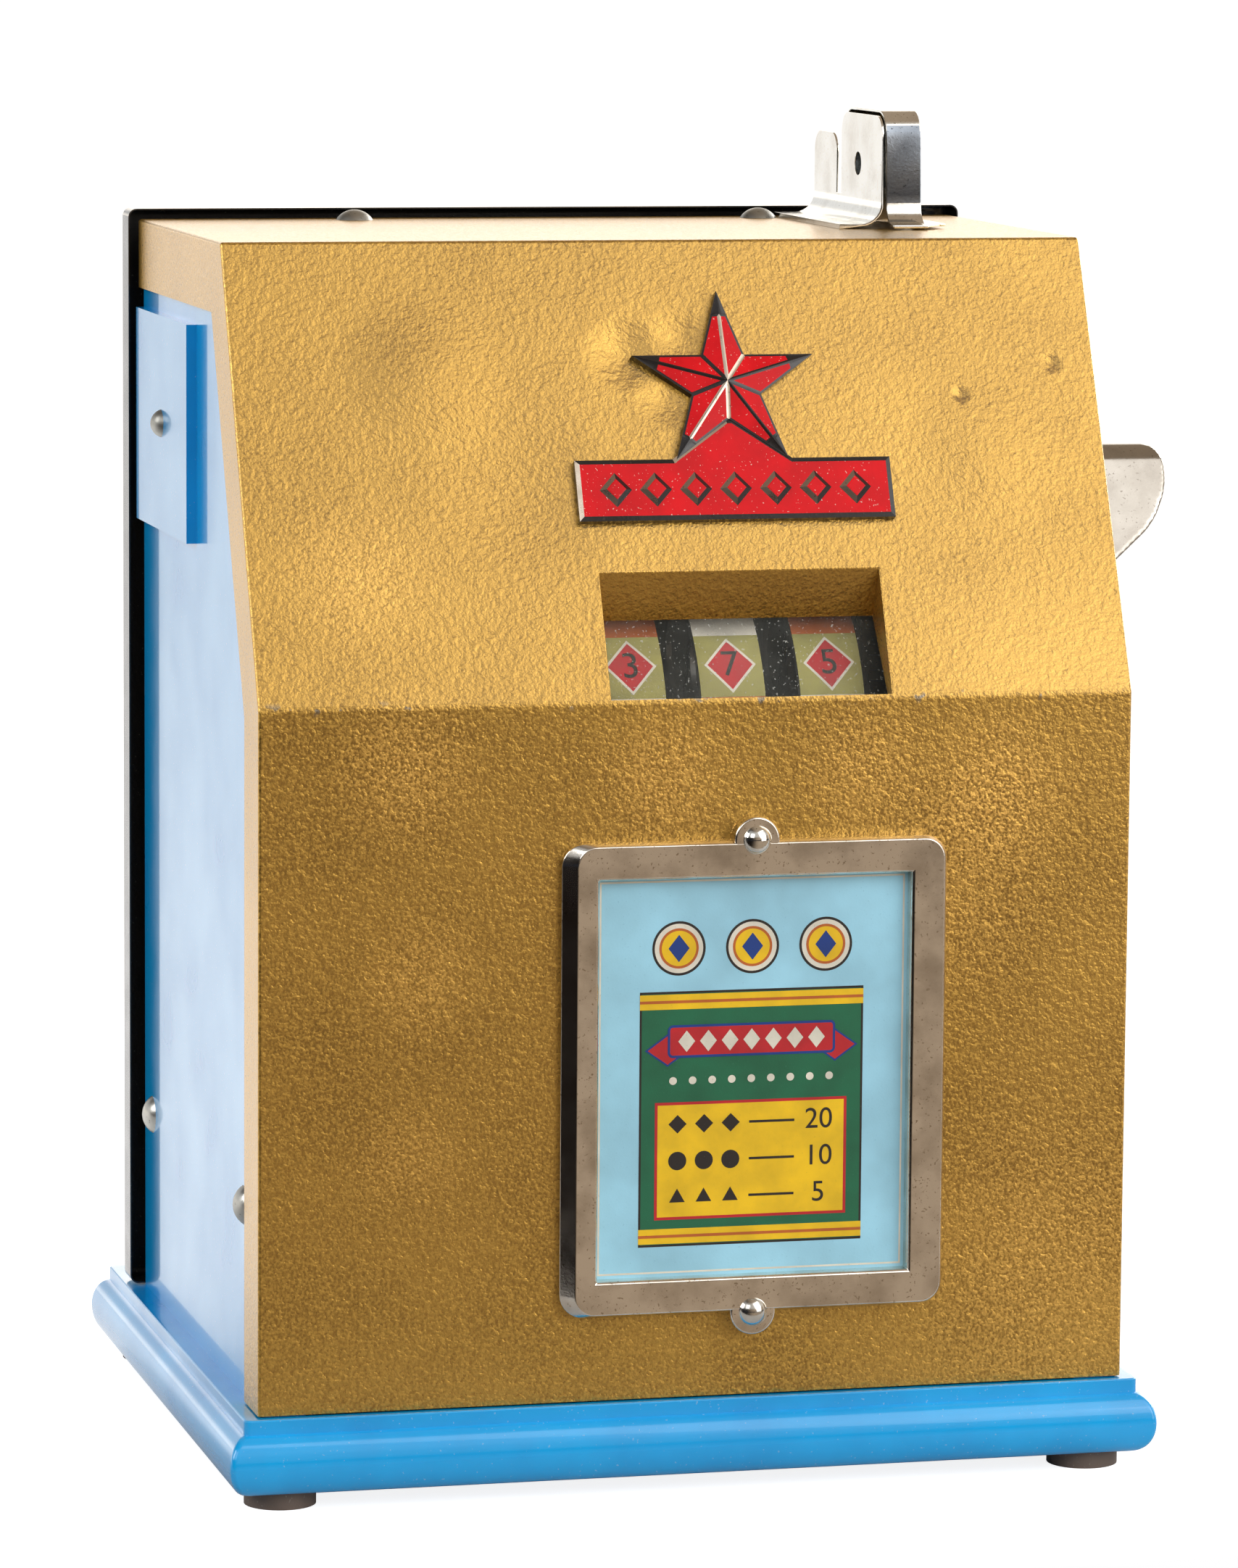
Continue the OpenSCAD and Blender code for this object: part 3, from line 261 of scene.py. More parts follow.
@dataclass(frozen=True)
class GoldFlakePaint(Finish):
    """Gold bronze paint sprayed on folded sheet: flakes glint, the film is leathery and chips at the fold.

    The flakes are drawn coarser than real ones, which would be too fine to show. Round glints of the lamps are
    painted on the front as flakes mixed towards a pale gold, a painted highlight.
    """

    shade: str = "#6C4812"
    chip: str = "#8B8272"
    # Colour of the painted glints, a painted highlight.
    glow: str = "#FFCB6A"
    leather: float = 1.9 * MM
    flake: float = 0.8 * MM
    patch: float = 38 * MM
    chip_size: float = 5 * MM
    chip_reach: float = 2.2 * MM
    dents: tuple[tuple[float, ...], ...] = (
        (-12.1, -63.8, 313.5, 13, -0.75), (3.5, -62.2, 317.1, 11, -0.5), (-1.8, -69.3, 301.1, 10, -0.5),
        (83.7, -69.1, 301.5, 3.2, -0.35), (111.4, -65.3, 310.1, 3.6, -0.35), (-70, -66, 309, 26, 0.6),
        (-45, -80, 276, 30, -0.5), (90, -76, 286, 26, 0.4),
    )
    # Round spots where the flakes are painted as lamp glints: place, radius and strength, in millimetres.
    painted_glints: tuple[tuple[float, ...], ...] = (
        (-82.8, -105, 204.5, 27, 0.8), (-10.1, -105, 200.5, 27, 0.8), (46, -105, 201.3, 26, 0.7),
        (84.4, -105, 193.9, 30, 1.0), (-79, -105, 146.5, 24, 0.6), (-82.8, -105, 96.4, 22, 0.5),
        (69.7, -105, 165, 40, 0.5), (100, -105, 60, 60, 0.6), (-92.2, -90, 254.6, 30, 0.5),
    )

    def surface(self, tree: Tree, place: Any) -> Inputs:
        """Mottles the gold by its flakes, darkens it in patches, chips it at the fold, dents it and paints lamp
        glints onto the flakes in round spots.

        Args:
            tree: Node tree of the material.
            place: Output that gives the place on the object.

        Returns:
            Inputs of the Principled shader.
        """
        flakes = cloud(tree, place, self.flake, 0.0, 1.0, (0.36, 0.64), 1.0)
        hidden = add(tree, "Math", {0: 1.0, 1: flakes}, operation="SUBTRACT")
        patches = cloud(tree, place, self.patch, 0.08, 0.5)
        dark = add(tree, "Math", {0: hidden, 1: patches}, operation="MULTIPLY")
        gold = add(tree, "MixRGB", {"Fac": dark, "Color1": srgb(self.colour), "Color2": srgb(self.shade)})
        height = add(tree, "SeparateXYZ", {"Vector": place}).outputs["Z"]
        off = add(tree, "Math", {0: height, 1: FOLD}, operation="SUBTRACT")
        away = add(tree, "Math", {0: off}, operation="ABSOLUTE")
        near = add(tree, "MapRange", {
            "Value": away, "From Min": 0.0, "From Max": self.chip_reach, "To Min": 1.0, "To Max": 0.0,
        })
        worn = cloud(tree, place, self.chip_size, 0.0, 1.0, (0.6, 0.64), 4.0)
        chips = add(tree, "Math", {0: near, 1: worn}, operation="MULTIPLY")
        skin = add(tree, "MixRGB", {"Fac": chips, "Color1": gold, "Color2": srgb(self.chip)})
        # Painted highlight: flakes inside the glint spots are mixed towards the glow colour.
        shine = add(tree, "Math", {0: flakes, 1: spots(tree, place, self.painted_glints)}, operation="MULTIPLY")
        lit = add(tree, "MixRGB", {"Fac": shine, "Color1": skin, "Color2": srgb(self.glow)})
        hollow = add(tree, "Bump", {
            "Height": spots(tree, place, self.dents), "Strength": 1.0, "Distance": 2.2 * MM,
        })
        film = cloud(tree, place, self.leather, 0.0, 1.0, (0.25, 0.75), 2.5)
        bump = add(tree, "Bump", {"Height": film, "Strength": 0.55, "Distance": 0.3 * MM, "Normal": hollow})
        glint = add(tree, "Bump", {"Height": flakes, "Strength": 0.4, "Distance": 0.12 * MM, "Normal": bump})
        return {
            "Base Color": lit, "Metallic": 0.86, "Coat Weight": 0.65, "Coat Roughness": 0.28, "Normal": glint,
            "Roughness": cloud(tree, place, self.flake, 0.26, 0.46, detail=1.0),
        }


@dataclass(frozen=True)
class GlossEnamel(Finish):
    """Oil enamel brushed on wood and rubbed by use: a deep gloss with a slow wave and dust that dulls it.

    The dust is drawn coarser than real, so that it shows.
    """

    shade: str = "#0880C8"
    dust: str = "#BCD6E8"
    wave: float = 28 * MM
    peel: float = 1.6 * MM
    speck: float = 0.9 * MM
    gloss: float = 0.16
    dull: float = 0.28

    def surface(self, tree: Tree, place: Any) -> Inputs:
        """Gives a clear blue with a faint wave, brush drag and dust specks.

        Args:
            tree: Node tree of the material.
            place: Output that gives the place on the object.

        Returns:
            Inputs of the Principled shader.
        """
        tone = cloud(tree, place, self.wave, 0.0, 0.4)
        blue = add(tree, "MixRGB", {"Fac": tone, "Color1": srgb(self.colour), "Color2": srgb(self.shade)})
        specks = cloud(tree, place, self.speck, 0.0, 0.3, (0.72, 0.76), 1.0)
        skin = add(tree, "MixRGB", {"Fac": specks, "Color1": blue, "Color2": srgb(self.dust)})
        slow = cloud(tree, place, self.wave, 0.0, 1.0)
        bump = add(tree, "Bump", {"Height": slow, "Strength": 0.05, "Distance": 1.0 * MM})
        fine = cloud(tree, place, self.peel, 0.0, 1.0)
        grain = add(tree, "Bump", {"Height": fine, "Strength": 0.04, "Distance": 0.08 * MM, "Normal": bump})
        return {
            "Base Color": skin, "IOR": 1.52, "Coat Weight": 0.7, "Coat Roughness": 0.04, "Normal": grain,
            "Roughness": cloud(tree, place, self.wave, self.gloss, self.dull),
        }


@dataclass(frozen=True)
class Metal(Finish):
    """Bare or plated metal: a mirror or a satin face, hazed by handling and pitted a little.

    The pits are drawn coarser than real ones, so that they show.
    """

    haze: str = "#8A8378"
    gloss: float = 0.08
    dull: float = 0.3
    smear: float = 12 * MM
    pit: float = 0.8 * MM
    relief: float = 0.05

    def surface(self, tree: Tree, place: Any) -> Inputs:
        """Breaks the metal's sheen by smears and fine pits.

        Args:
            tree: Node tree of the material.
            place: Output that gives the place on the object.

        Returns:
            Inputs of the Principled shader.
        """
        smears = cloud(tree, place, self.smear, 0.0, 0.55, (0.42, 0.7), 5.0)
        pits = cloud(tree, place, self.pit, 0.0, 0.8, (0.64, 0.7), 2.0)
        soil = add(tree, "Math", {0: smears, 1: pits}, operation="MAXIMUM")
        skin = add(tree, "MixRGB", {"Fac": soil, "Color1": srgb(self.colour), "Color2": srgb(self.haze)})
        grain = cloud(tree, place, self.pit, 0.0, 1.0)
        bump = add(tree, "Bump", {"Height": grain, "Strength": self.relief, "Distance": 0.1 * MM})
        return {
            "Base Color": skin, "Metallic": 1.0, "Normal": bump,
            "Roughness": cloud(tree, place, self.smear, self.gloss, self.dull),
        }


@dataclass(frozen=True)
class Coating(Finish):
    """A paint, ink, card or rubber skin without metal: mottled, with worn or soiled specks.

    The specks and the grain are drawn coarser than real ones, so that they show.
    """

    worn: str = "#D8CFC0"
    rough: float = 0.45
    mottle: float = 9 * MM
    speck: float = 0.7 * MM
    wear: float = 0.4
    wear_span: Pair = (0.66, 0.7)
    relief: float = 0.1
    coat: float = 0.0
    shine: float = 0.5

    def surface(self, tree: Tree, place: Any) -> Inputs:
        """Gives a colour with soft mottling, wear specks and a fine grain.

        Args:
            tree: Node tree of the material.
            place: Output that gives the place on the object.

        Returns:
            Inputs of the Principled shader.
        """
        tone = cloud(tree, place, self.mottle, 0.82, 1.08)
        base = add(tree, "HueSaturation", {"Value": tone, "Color": srgb(self.colour)})
        specks = cloud(tree, place, self.speck, 0.0, self.wear, self.wear_span, 4.0)
        skin = add(tree, "MixRGB", {"Fac": specks, "Color1": base, "Color2": srgb(self.worn)})
        grain = cloud(tree, place, self.speck, 0.0, 1.0)
        bump = add(tree, "Bump", {"Height": grain, "Strength": self.relief, "Distance": 0.12 * MM})
        return {
            "Base Color": skin, "Specular IOR Level": self.shine, "Normal": bump,
            "Roughness": cloud(tree, place, self.mottle, self.rough - 0.08, self.rough + 0.1),
            "Coat Weight": self.coat, "Coat Roughness": 0.06,
        }


@dataclass(frozen=True)
class PlainWood(Finish):
    """Sawn softwood left bare inside: long grain along the board, in lighter and darker bands."""

    dark: str = "#8A6238"
    ring: float = 4 * MM
    stretch: float = 14.0

    def surface(self, tree: Tree, place: Any) -> Inputs:
        """Draws the grain out along the upright board.

        Args:
            tree: Node tree of the material.
            place: Output that gives the place on the object.

        Returns:
            Inputs of the Principled shader.
        """
        drawn = add(tree, "Mapping", {"Vector": place, "Scale": (1.0, 1.0, 1 / self.stretch)})
        grain = cloud(tree, drawn.outputs[0], self.ring, 0.0, 1.0)
        skin = add(tree, "MixRGB", {"Fac": grain, "Color1": srgb(self.colour), "Color2": srgb(self.dark)})
        bump = add(tree, "Bump", {"Height": grain, "Strength": 0.2, "Distance": 0.2 * MM})
        return {"Base Color": skin, "Roughness": 0.7, "Normal": bump}


@dataclass(frozen=True)
class DustyGlass(Finish):
    """Old window glass: nearly clear, with dust specks and a film that greys it.

    The dust is drawn coarser than real, so that it shows.
    """

    speck: float = 0.8 * MM
    film: float = 16 * MM

    def surface(self, tree: Tree, place: Any) -> Inputs:
        """Leaves a clear pane that shows only its dust and its shine.

        Args:
            tree: Node tree of the material.
            place: Output that gives the place on the object.

        Returns:
            Inputs of the Principled shader.
        """
        specks = cloud(tree, place, self.speck, 0.0, 0.4, (0.68, 0.74), 1.0)
        haze = cloud(tree, place, self.film, 0.015, 0.05)
        seen = add(tree, "Math", {0: specks, 1: haze}, operation="MAXIMUM")
        return {"Base Color": srgb(self.colour), "Roughness": 0.05, "Alpha": seen}


GOLD = GoldFlakePaint("gold_bronze_paint", "#D2A64D")
BLUE = GlossEnamel("blue_gloss_enamel", "#08AFF6")
WOOD = PlainWood("bare_softwood", "#C49A63")
GLASS = DustyGlass("dusty_window_glass", "#D9DDD6")
# Plated and bare metals: the first four mirror the room, the others are satin. The fourth is a darker copy of
# the chrome, a painted dark reflection; the last is a pale metal colour, a painted highlight.
CHROME = Metal("chrome_plate", "#EFEDE6", haze="#B7B0A4", gloss=0.06, dull=0.2)
NICKEL = Metal("worn_nickel_plate", "#F4EEE4", haze="#A5957F", gloss=0.09, dull=0.2)
CAST = Metal("chromed_casting", "#B4AEA5", haze="#857E74", gloss=0.1, dull=0.22)
DARK_REFLECTION_CHROME = Metal("chrome_painted_dark_reflection", "#98A0AA", haze="#14181F", gloss=0.07, dull=0.2, smear=15 * MM)
ZINC = Metal("zinc_plated_steel", "#B9B8B2", haze="#6C6A62", gloss=0.28, dull=0.5)
ALUMINIUM = Metal("spun_aluminium", "#CFCFCB", haze="#8C8A84", gloss=0.3, dull=0.5)
BRASS = Metal("cut_brass", "#C79A4B", haze="#6F5326", gloss=0.22, dull=0.42)
# Pale metal colour for badge facets that face the lamps: a painted highlight.
BADGE_HIGHLIGHT = Metal("badge_metal_painted_highlight", "#E8D9C8", haze="#9A8872", gloss=0.2, dull=0.4)
# Enamels and paint: glassy colour, chipped to pale specks, and a black that is wrinkled under its gloss.
RED = Coating(
    "red_fired_enamel", "#DE1820", worn="#EBCDC0", rough=0.38, shine=0.15, wear=0.8, wear_span=(0.67, 0.7))
BLACK = Coating("black_fired_enamel", "#151113", worn="#5A4A44", rough=0.3, coat=0.3)
WRINKLE = Coating(
    "black_wrinkle_paint", "#161616", worn="#8A8780", rough=0.42, relief=0.4, speck=0.9 * MM, coat=0.9)
# Rubber, card, paper and inks: matt, with soil and wear in soft patches.
RUBBER = Coating("brown_foot_rubber", "#6E5F55", worn="#A39A90", rough=0.7)
CARD = Coating("sky_blue_card", "#A6E0F8", worn="#6FA7C4", rough=0.6, mottle=22 * MM, wear=0.25)
PAPER = Coating("olive_strip_paper", "#A9A45E", worn="#6B6638", rough=0.65, mottle=7 * MM)
INK_WHITE = Coating("white_ink", "#E9E5D6", worn="#A9A08C", rough=0.6)
INK_ORANGE = Coating("orange_ink", "#C2662B", worn="#7A4A28", rough=0.6)
INK_RED = Coating("red_ink", "#C5222B", worn="#8A3A34", rough=0.6)
INK_DARK = Coating("dark_ink", "#2A2320", worn="#5A5048", rough=0.6)
INK_GREEN = Coating("green_ink", "#1E6B4A", worn="#3B7F60", rough=0.6)
INK_YELLOW = Coating("yellow_ink", "#F5C81B", worn="#C9A526", rough=0.6)
INK_BLUE = Coating("navy_ink", "#1B3F8C", worn="#3C5A9A", rough=0.6)

SLOT_FINISH: dict[str, Finish] = {
    "gold_paint": GOLD,
    "blue_enamel_wood": BLUE,
    "bare_wood": WOOD,
    "chrome_sheet": CHROME,
    "nickel_frame": NICKEL,
    "red_enamel": RED,
    "card_print": CARD,
    "strip_print": PAPER,
    "window_glass": GLASS,
    "black_wrinkle": WRINKLE,
    "zinc_steel": ZINC,
    "drum_aluminium": ALUMINIUM,
    "brass_gear": BRASS,
    "foot_rubber": RUBBER,
}


def only(piece: Piece) -> None:
    """Makes a piece the one selected and active object.

    Args:
        piece: The piece.
    """
    bpy.ops.object.select_all(action="DESELECT")
    piece.select_set(True)
    bpy.context.view_layer.objects.active = piece


def settle(name: str) -> Piece:
    """Names the active primitive and puts its place into its mesh.

    Args:
        name: The piece's name.

    Returns:
        The piece.
    """
    piece = bpy.context.object
    piece.name = name
    bpy.context.view_layer.update()
    only(piece)
    bpy.ops.object.transform_apply(location=True, rotation=True, scale=True)
    return piece


def start(name: str, primitive: Callable[..., Any], stretch: Sequence[float] | None = None,
          **how: Any) -> Piece:
    """Starts a piece from a primitive.

    Args:
        name: The piece's name.
        primitive: Operator that adds the primitive.
        stretch: Scale along its own axes.
        how: Settings of the operator.

    Returns:
        The primitive, with its place in its mesh.
    """
    bpy.ops.object.select_all(action="DESELECT")
    primitive(**how)
    if stretch is not None:
        bpy.context.object.scale = stretch
    return settle(name)


def block(name: str, low: Sequence[float], high: Sequence[float]) -> Piece:
    """Starts a piece from a cube.

    Args:
        name: The piece's name.
        low: Its lowest corner.
        high: Its highest corner.

    Returns:
        The piece.
    """
    middle = [(a + b) / 2 for a, b in zip(low, high)]
    sides = [b - a for a, b in zip(low, high)]
    return start(name, bpy.ops.mesh.primitive_cube_add, sides, size=1, location=middle)


def lay(piece: Piece, place: Matrix) -> None:
    """Moves a piece from the frame it was drawn in, and puts its place into its mesh.

    Args:
        piece: The piece.
        place: Where that frame lies in the part's frame.
    """
    only(piece)
    piece.matrix_world = place
    bpy.ops.object.transform_apply(location=True, rotation=True, scale=True)


@contextmanager
def editing(piece: Piece) -> Iterator[None]:
    """Opens a piece in edit mode with nothing selected, and closes it after.

    Args:
        piece: The piece that is edited.

    Yields:
        Nothing, while the piece is open.
    """
    only(piece)
    bpy.ops.object.mode_set(mode="EDIT")
    bpy.ops.mesh.select_all(action="DESELECT")
    yield
    bpy.ops.object.mode_set(mode="OBJECT")


def pick(part: Part, test: Test) -> int:
    """Selects by place and direction in edit mode.

    Args:
        part: Verts, edges or faces.
        test: Takes the middle, and a normal or an edge's direction, and says whether it is picked.

    Returns:
        How many were picked.
    """
    bpy.ops.mesh.select_mode(type=part.value)
    bpy.ops.mesh.select_all(action="DESELECT")
    data = bpy.context.object.data
    shape = bmesh.from_edit_mesh(data)
    shape.normal_update()
    count = 0
    for item in {Part.VERTS: shape.verts, Part.EDGES: shape.edges, Part.FACES: shape.faces}[part]:
        if part is Part.VERTS:
            middle, way = item.co, item.normal
        elif part is Part.EDGES:
            first, last = item.verts
            middle, way = (first.co + last.co) / 2, (last.co - first.co).normalized()
        else:
            middle, way = item.calc_center_median(), item.normal
        if test(middle, way):
            item.select_set(True)
            count += 1
    shape.select_flush_mode()
    bmesh.update_edit_mesh(data)
    return count


def everything(_middle: Vector, _way: Vector) -> bool:
    """Picks all."""
    return True


def faces_up(_middle: Vector, way: Vector) -> bool:
    """Picks what points up, also at a slant."""
    return way.z > 0.5


def picked(piece: Piece) -> set[int]:
    """Gives the numbers of the faces that are selected in edit mode."""
    return {face.index for face in bmesh.from_edit_mesh(piece.data).faces if face.select}


def cut(point: Vector, way: Vector, test: Test = everything, fill: bool = False, clear: bool = False) -> None:
    """Cuts faces along a plane in edit mode.

    Args:
        point: Point on the plane.
        way: The plane's normal.
        test: Picks the faces.
        fill: Closes the cut with a face.
        clear: Deletes what lies on the normal's side.
    """
    pick(Part.FACES, test)
    bpy.ops.mesh.bisect(plane_co=point, plane_no=way, use_fill=fill, clear_outer=clear)


def round_off(test: Test, radius: float, segments: int) -> None:
    """Rounds edges in edit mode.

    Args:
        test: Picks the edges.
        radius: Radius of the rounding.
        segments: Its steps.
    """
    pick(Part.EDGES, test)
    bpy.ops.mesh.bevel(offset=radius, segments=segments, profile=0.5, affect="EDGES", clamp_overlap=True)


def move(by: Vector) -> None:
    """Moves the selection."""
    bpy.ops.transform.translate(value=by)


def extrude(by: Vector) -> None:
    """Extrudes the selection as one region."""
    bpy.ops.mesh.extrude_region_move(TRANSFORM_OT_translate={"value": by})


def weld(reach: float) -> None:
    """Merges verts that lie within reach of each other."""
    pick(Part.VERTS, everything)
    bpy.ops.mesh.remove_doubles(threshold=reach)


def face_outwards(wrong: Test | None = None) -> None:
    """Turns all faces one way, which is outwards on a closed shape, and leaves them selected.

    Args:
        wrong: Finds a face only if an open sheet came out the wrong way round, which is then turned.
    """
    pick(Part.FACES, everything)
    bpy.ops.mesh.normals_make_consistent(inside=False)
    if wrong and pick(Part.FACES, wrong):
        pick(Part.FACES, everything)
        bpy.ops.mesh.flip_normals()


def apply(piece: Piece, kind: str, **settings: Any) -> None:
    """Adds a modifier to a piece and applies it.

    Args:
        piece: The piece.
        kind: Blender's name of the modifier's type.
        settings: The modifier's own properties.
    """
    only(piece)
    modifier = piece.modifiers.new(kind.lower(), kind)
    for name, value in settings.items():
        setattr(modifier, name, value)
    bpy.ops.object.modifier_apply(modifier=modifier.name)


def thicken(piece: Piece, wall: float) -> None:
    """Gives an open sheet, whose faces point outwards, its wall on the inside."""
    apply(piece, "SOLIDIFY", thickness=wall, offset=-1.0, use_even_offset=True, thickness_clamp=2.0)


def ease(piece: Piece, width: float, segments: int = 2, angle: float = 35.0) -> None:
    """Breaks a piece's sharp edges with a small bevel.

    Args:
        piece: The piece.
        width: Width of the bevel.
        segments: Its steps.
        angle: Edges sharper than this many degrees are broken.
    """
    limit = math.radians(angle)
    apply(piece, "BEVEL", width=width, segments=segments, limit_method="ANGLE", angle_limit=limit)


def join(name: str, pieces: Sequence[Piece]) -> Piece:
    """Joins pieces into one mesh.

    Args:
        name: Name of the joined piece.
        pieces: The pieces, of which the first takes in the others.

    Returns:
        The joined piece.
    """
    only(pieces[0])
    for piece in pieces:
        piece.select_set(True)
    bpy.ops.object.join()
    pieces[0].name = name
    return pieces[0]


def dress(piece: Piece, *finishes: Finish) -> None:
    """Gives a piece its materials.

    Args:
        piece: The piece.
        finishes: Their finishes, in the order of the material numbers.
    """
    piece.data.materials.clear()
    for finish in finishes:
        piece.data.materials.append(finish.material())


def paint(piece: Piece, number: int, test: Test) -> None:
    """Gives some faces another of the piece's materials.

    Args:
        piece: The piece, in object mode.
        number: The material's number.
        test: Takes a face's middle and normal, and says whether it gets the material.
    """
    for face in piece.data.polygons:
        if test(face.center, face.normal):
            face.material_index = number


def hand_over(piece: Piece, slot: str, *replaces: str, body: Body = Body.CABINET,
              smooth: float = 32.0) -> None:
    """Gives a piece that has no finish yet that of its slot, shades it and lets it ride on its body.

    Args:
        piece: The finished piece.
        slot: Material slot of the record.
        replaces: Nodes that it stands for.
        body: Body of the frame that it moves with.
        smooth: Edges flatter than this many degrees are shaded smooth.
    """
    if not piece.data.materials:
        dress(piece, SLOT_FINISH[slot])
    only(piece)
    bpy.ops.object.shade_smooth_by_angle(angle=math.radians(smooth))
    apply(piece, "WEIGHTED_NORMAL", keep_sharp=True)
    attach(piece, body.value)
    if replaces:
        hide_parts(*replaces)
    log.info("%s: %d faces on %s", piece.name, len(piece.data.polygons), body.value)


SHELL_LOW, SHELL_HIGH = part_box("front_shell")


@dataclass(frozen=True)
class Slope:
    """The leaning upper part of the front."""

    front: float = SHELL_LOW.y
    fold: float = FOLD
    run: float = 55 * MM
    top: float = SHELL_HIGH.z

    @property
    def lean(self) -> float:
        """Angle of the slope from upright."""
        return math.atan2(self.run, self.top - self.fold)

    @property
    def up(self) -> Vector:
        """Direction up the slope."""
        return Vector((0, math.sin(self.lean), math.cos(self.lean)))

    @property
    def out(self) -> Vector:
        """Direction out of the slope."""
        return Vector((0, -math.cos(self.lean), math.sin(self.lean)))

    def at(self, along: float) -> Vector:
        """Gives the point on the case's middle that lies this far up from the fold."""
        return Vector((0, self.front, self.fold)) + self.up * along

    def along(self, point: Vector) -> float:
        """Gives a point's distance up from the fold."""
        return (point - self.at(0)).dot(self.up)

    def over(self, point: Vector) -> float:
        """Gives a point's height over the sheet."""
        return (point - self.at(0)).dot(self.out)

    def faces(self, _middle: Vector, normal: Vector) -> bool:
        """Picks what points straight out of the slope."""
        return normal.dot(self.out) > FLAT

    def place(self, x: float) -> Matrix:
        """Gives a frame at the fold: X across, Y up the slope and Z out of it."""
        turn = Matrix((X, self.up, self.out)).transposed().to_4x4()
        return Matrix.Translation(self.at(0) + X * x) @ turn


SLOPE = Slope()
FRONT_TURN = Matrix((X, Z, -Y)).transposed().to_4x4()


@dataclass(frozen=True)
class Softbox:
    """Square studio lamp."""

    name: str
    spot: Point
    aim: Point
    size: float
    watts: float
    mirrored: bool = True

    def hang(self) -> None:
        """Hangs the lamp and aims it. One that isn't mirrored shows on no shiny surface."""
        data = bpy.data.lights.new(self.name, "AREA")
        data.shape = "SQUARE"
        data.size = self.size
        data.energy = self.watts
        lamp = bpy.data.objects.new(self.name, data)
        bpy.context.scene.collection.objects.link(lamp)
        lamp.visible_glossy = self.mirrored
        way = Vector(self.aim) - Vector(self.spot)
        turn = way.to_track_quat("-Z", "Y").to_matrix().to_4x4()
        lamp.matrix_world = Matrix.Translation(self.spot) @ turn


